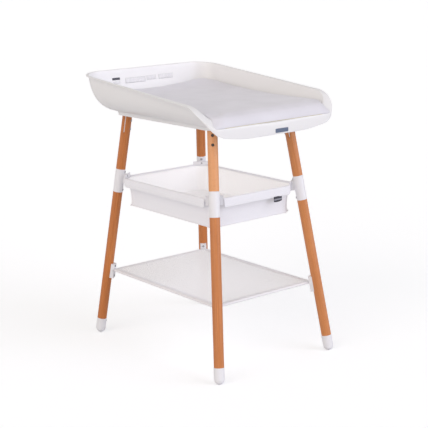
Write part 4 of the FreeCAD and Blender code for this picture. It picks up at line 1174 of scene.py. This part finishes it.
def add_bolt(bm, bolt, socket):
    """Button head with a hexagonal socket, or a plain dome where socket is 0."""
    head, tall = bolt["head"], bolt["tall"]
    # Radius, height over the seat, and whether the ring is six-sided.
    rings = [(bolt["shank"], -bolt["deep"], False), (bolt["shank"], 0.0, False),
             (head * 0.97, 0.0, False), (head, 0.08 * tall, False)]
    end = math.degrees(math.acos(min(socket * 1.35 / head, 1.0))) if socket else 84
    for step in range(1, 7):
        turn = math.radians(10 + (end - 10) * step / 6)
        rings.append((head * math.cos(turn), tall * (0.08 + 0.92 * math.sin(turn)), False))
    if socket:
        face = rings[-1][1]
        rings += [(socket * 1.06, face, True), (socket, face - 0.15 * MM, True),
                  (socket * 0.96, face - tall * 0.62, True)]
    rows = []
    turned = bolt["out"].to_track_quat("Z", "Y")
    for radius, up, six in rings:
        row = []
        for side in range(BOLT_SIDES):
            angle = math.tau * side / BOLT_SIDES
            reach = radius
            if six:
                part = (angle % (math.pi / 3)) - math.pi / 6
                reach = radius * math.cos(math.pi / 6) / math.cos(part)
            row.append(bolt["seat"] + turned @ Vector((reach * math.cos(angle),
                                                       reach * math.sin(angle), up)))
        rows.append(row)
    part = sweep(rows, loop=True)
    close_ends(part)
    bmesh.ops.recalc_face_normals(part, faces=part.faces)
    mesh = bpy.data.meshes.new("bolt_part")
    part.to_mesh(mesh)
    part.free()
    bm.from_mesh(mesh)
    bpy.data.meshes.remove(mesh)


def build_bolts():
    """Bolts, screws and rivets in place of the plain ones, and the two metals."""
    zinc = plated_steel("zinc_plated_steel", linear("#B4B4B8"), 0.34)
    black = plated_steel("blackened_steel", linear("#6E6A67"), 0.36)
    for name, node, socket, material, slot in (
            ("leg_bolts", "tongue_bolts", 2.0 * MM, black, "dark_steel"),
            ("sleeve_screws", "sleeve_bolts", 1.6 * MM, zinc, "bright_steel"),
            ("shelf_screws", "shelf_bolts", 1.6 * MM, zinc, "bright_steel"),
            ("cap_screws", "foot_screws", 1.1 * MM, zinc, "bright_steel"),
            ("rivets", "basket_rivets", 0.0, zinc, "bright_steel")):
        bm = bmesh.new()
        for points in solids_of(node):
            add_bolt(bm, bolt_of(points), socket)
        piece = finish_piece(name, bm, material, sharp=32)
        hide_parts(node)
    return zinc, black


# ------------------------------------------------------------------- operators

class CHANGING_TABLE_OT_stage(bpy.types.Operator):
    """Adds the floor, the soft light and the camera"""
    bl_idname = "changing_table.stage"
    bl_label = "Stage"

    def execute(self, context):
        stage = context.scene.stage_settings
        scene = context.scene
        scene.view_settings.view_transform = "Standard"
        bm = bmesh.new()
        bmesh.ops.create_grid(bm, x_segments=1, y_segments=1, size=FLOOR_SIZE)
        mesh = bpy.data.meshes.new("floor")
        bm.to_mesh(mesh)
        bm.free()
        mesh.materials.append(studio_floor("studio_floor"))
        floor = bpy.data.objects.new("floor", mesh)
        scene.collection.objects.link(floor)

        world = bpy.data.worlds.new("studio")
        world.use_nodes = True
        tree = world.node_tree
        tree.nodes.clear()
        height = add(tree, "SeparateXYZ", {
            0: add(tree, "TexCoord").outputs["Generated"]}).outputs["Z"]
        strength = add(tree, "MapRange", {
            "Value": height, "From Max": 0.8, "To Min": stage.sky * 1.25,
            "To Max": stage.sky * 0.72})
        even = add(tree, "Background", {"Color": linear("#FFFDFB"),
                                        "Strength": strength.outputs[0]})
        plain = add(tree, "Background", {"Color": (1.0, 1.0, 1.0, 1.0)})
        seen = add(tree, "LightPath").outputs["Is Camera Ray"]
        mix = add(tree, "MixShader", {0: seen, 1: even.outputs[0], 2: plain.outputs[0]})
        add(tree, "OutputWorld", {"Surface": mix.outputs[0]})
        scene.world = world

        # Where each light comes from, its strength, its tint and its spread in degrees.
        for name, toward, share, tint, spread in (
                ("key_light", (0.42, -0.85, 0.32), 1.42, "#F0F1FF", 50),
                ("fill_light", (-0.90, -0.22, 0.36), 1.1, "#FFF4EA", 60)):
            lamp = bpy.data.lights.new(name, "SUN")
            lamp.energy = stage.key * share
            lamp.color = linear(tint)[:3]
            lamp.angle = math.radians(spread)
            holder = bpy.data.objects.new(name, lamp)
            holder.rotation_euler = Vector(toward).to_track_quat("Z", "Y").to_euler()
            scene.collection.objects.link(holder)

        back = Vector((math.sin(stage.azimuth) * math.cos(stage.elevation),
                       -math.cos(stage.azimuth) * math.cos(stage.elevation),
                       math.sin(stage.elevation)))
        right = (-back).cross(Vector((0, 0, 1))).normalized()
        up = right.cross(-back)
        right, up = (right * math.cos(stage.roll) + up * math.sin(stage.roll),
                     up * math.cos(stage.roll) - right * math.sin(stage.roll))
        lens = bpy.data.cameras.new("camera")
        lens.lens = stage.lens
        lens.sensor_width = 36
        lens.clip_end = 200
        camera = bpy.data.objects.new("camera", lens)
        turn = Matrix((right, up, back)).transposed()
        place = (Vector((0, 0, stage.aim_height)) + back * stage.distance
                 + right * stage.slide_right + up * stage.slide_up)
        camera.matrix_world = Matrix.Translation(place) @ turn.to_4x4()
        scene.collection.objects.link(camera)
        scene.camera = camera
        return {"FINISHED"}


class CHANGING_TABLE_OT_tub(bpy.types.Operator):
    """Moulds the tub with its rim and front lip"""
    bl_idname = "changing_table.tub"
    bl_label = "Tub"

    def execute(self, context):
        build_tub(context.scene.finish_colours, context.scene.tub_sizes)
        return {"FINISHED"}


class CHANGING_TABLE_OT_mat(bpy.types.Operator):
    """Fills the padded mat and lays a cord of painted shadow round it"""
    bl_idname = "changing_table.mat"
    bl_label = "Mat"

    def execute(self, context):
        scene = context.scene
        cushion, mat = build_mat(scene.finish_colours, scene.mat_sizes, scene.tub_sizes)
        build_mat_gap_shadow(scene.finish_colours, cushion, mat)
        return {"FINISHED"}


class CHANGING_TABLE_OT_prints(bpy.types.Operator):
    """Adds the blank plate on the lip and the blank prints inside the back wall"""
    bl_idname = "changing_table.prints"
    bl_label = "Plate and prints"

    def execute(self, context):
        build_plate(context.scene.finish_colours)
        build_prints(context.scene.finish_colours, context.scene.tub_sizes)
        return {"FINISHED"}


class CHANGING_TABLE_OT_basket(bpy.types.Operator):
    """Hangs the mesh tray, its folded flaps, hems, binding and label"""
    bl_idname = "changing_table.basket"
    bl_label = "Basket"

    def execute(self, context):
        sizes = context.scene.basket_sizes
        colours = context.scene.finish_colours
        cloth = open_mesh("basket_warp_knit", colours.mesh, 0.10, 2.0)
        tray, tape = build_tray(colours, sizes, cloth)
        stitches = bmesh.new()
        for side in SIDES:
            build_flap(side, tray, sizes, colours, cloth, tape, stitches)
        finish_piece("basket_stitches", stitches, tape)
        build_label(colours)
        build_tabs(tray, tape)
        return {"FINISHED"}


class CHANGING_TABLE_OT_shelf(bpy.types.Operator):
    """Stretches the mesh shelf over its rails and sews its hem"""
    bl_idname = "changing_table.shelf"
    bl_label = "Shelf"

    def execute(self, context):
        colours = context.scene.finish_colours
        cloth = open_mesh("shelf_warp_knit", colours.shelf, 0.55, 3.4)
        tape = woven_tape("hem_tape", colours.tape, 1.0)
        build_shelf(colours, context.scene.shelf_sizes, cloth, tape)
        return {"FINISHED"}


class CHANGING_TABLE_OT_finishes(bpy.types.Operator):
    """Gives the bolts their detail and every remaining part its finish"""
    bl_idname = "changing_table.finishes"
    bl_label = "Fasteners and finishes"

    def execute(self, context):
        colours = context.scene.finish_colours
        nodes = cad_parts
        zinc, black = build_bolts()
        coat = powder_coat("powder_coat", colours.coat)
        nylon = moulded_abs("moulded_nylon", colours.coat, 0.45)
        ring = moulded_abs("moulded_abs_ring", colours.plastic, 0.42)
        board = woven_tape("covered_board", colours.shelf, 1.6, glow=0.15)
        finishes = {"foot_cap": nylon, "under_frame": ring, "basket_base": board,
                    "tongue_nuts": zinc, "tub_screws": black}
        tones = [Vector(colours.beech), Vector(colours.beech_dark)]
        pale = Vector(colours.beech_pale_and_highlight)
        for corner in CORNERS:
            low = sum(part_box("lower_leg_" + corner), Vector()) / 2
            high = sum(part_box("upper_leg_" + corner), Vector()) / 2
            for leg in ("lower_leg_" + corner, "upper_leg_" + corner):
                # The share of pale beech is partly the turning's own tone and partly painted
                # highlight.
                share = PALER_TONE_AND_HIGHLIGHT.get(leg, 0.0)
                finishes[leg] = lacquered_beech(
                    "lacquered_beech_" + leg, [tone.lerp(pale, share) for tone in tones],
                    low, high)
        for name, node in nodes.items():
            chosen = [finish for start, finish in finishes.items() if name.startswith(start)]
            node.data.materials.clear()
            node.data.materials.append(chosen[0] if chosen else coat)
        return {"FINISHED"}


OPERATORS = (CHANGING_TABLE_OT_stage, CHANGING_TABLE_OT_tub, CHANGING_TABLE_OT_mat,
             CHANGING_TABLE_OT_prints, CHANGING_TABLE_OT_basket, CHANGING_TABLE_OT_shelf,
             CHANGING_TABLE_OT_finishes)


class CHANGING_TABLE_PT_main(bpy.types.Panel):
    """Sizes, colours and builders of the changing table"""
    bl_label = "Changing table"
    bl_space_type = "VIEW_3D"
    bl_region_type = "UI"
    bl_category = "Changing table"

    def draw(self, context):
        for operator in OPERATORS:
            self.layout.operator(operator.bl_idname)
        for name, group in GROUPS.items():
            box = self.layout.box()
            box.label(text=group.__name__)
            for setting in group.__annotations__:
                box.prop(getattr(context.scene, name), setting)


def register():
    for group in GROUPS.values():
        bpy.utils.register_class(group)
    for kind in (*OPERATORS, CHANGING_TABLE_PT_main):
        bpy.utils.register_class(kind)
    for name, group in GROUPS.items():
        setattr(bpy.types.Scene, name, PointerProperty(type=group))


def unregister():
    for name in GROUPS:
        delattr(bpy.types.Scene, name)
    for kind in (CHANGING_TABLE_PT_main, *OPERATORS, *GROUPS.values()):
        bpy.utils.unregister_class(kind)


def main():
    register()
    bpy.ops.changing_table.stage()
    bpy.ops.changing_table.tub()
    bpy.ops.changing_table.mat()
    bpy.ops.changing_table.prints()
    bpy.ops.changing_table.basket()
    bpy.ops.changing_table.shelf()
    bpy.ops.changing_table.finishes()


if __name__ == "__main__":
    main()
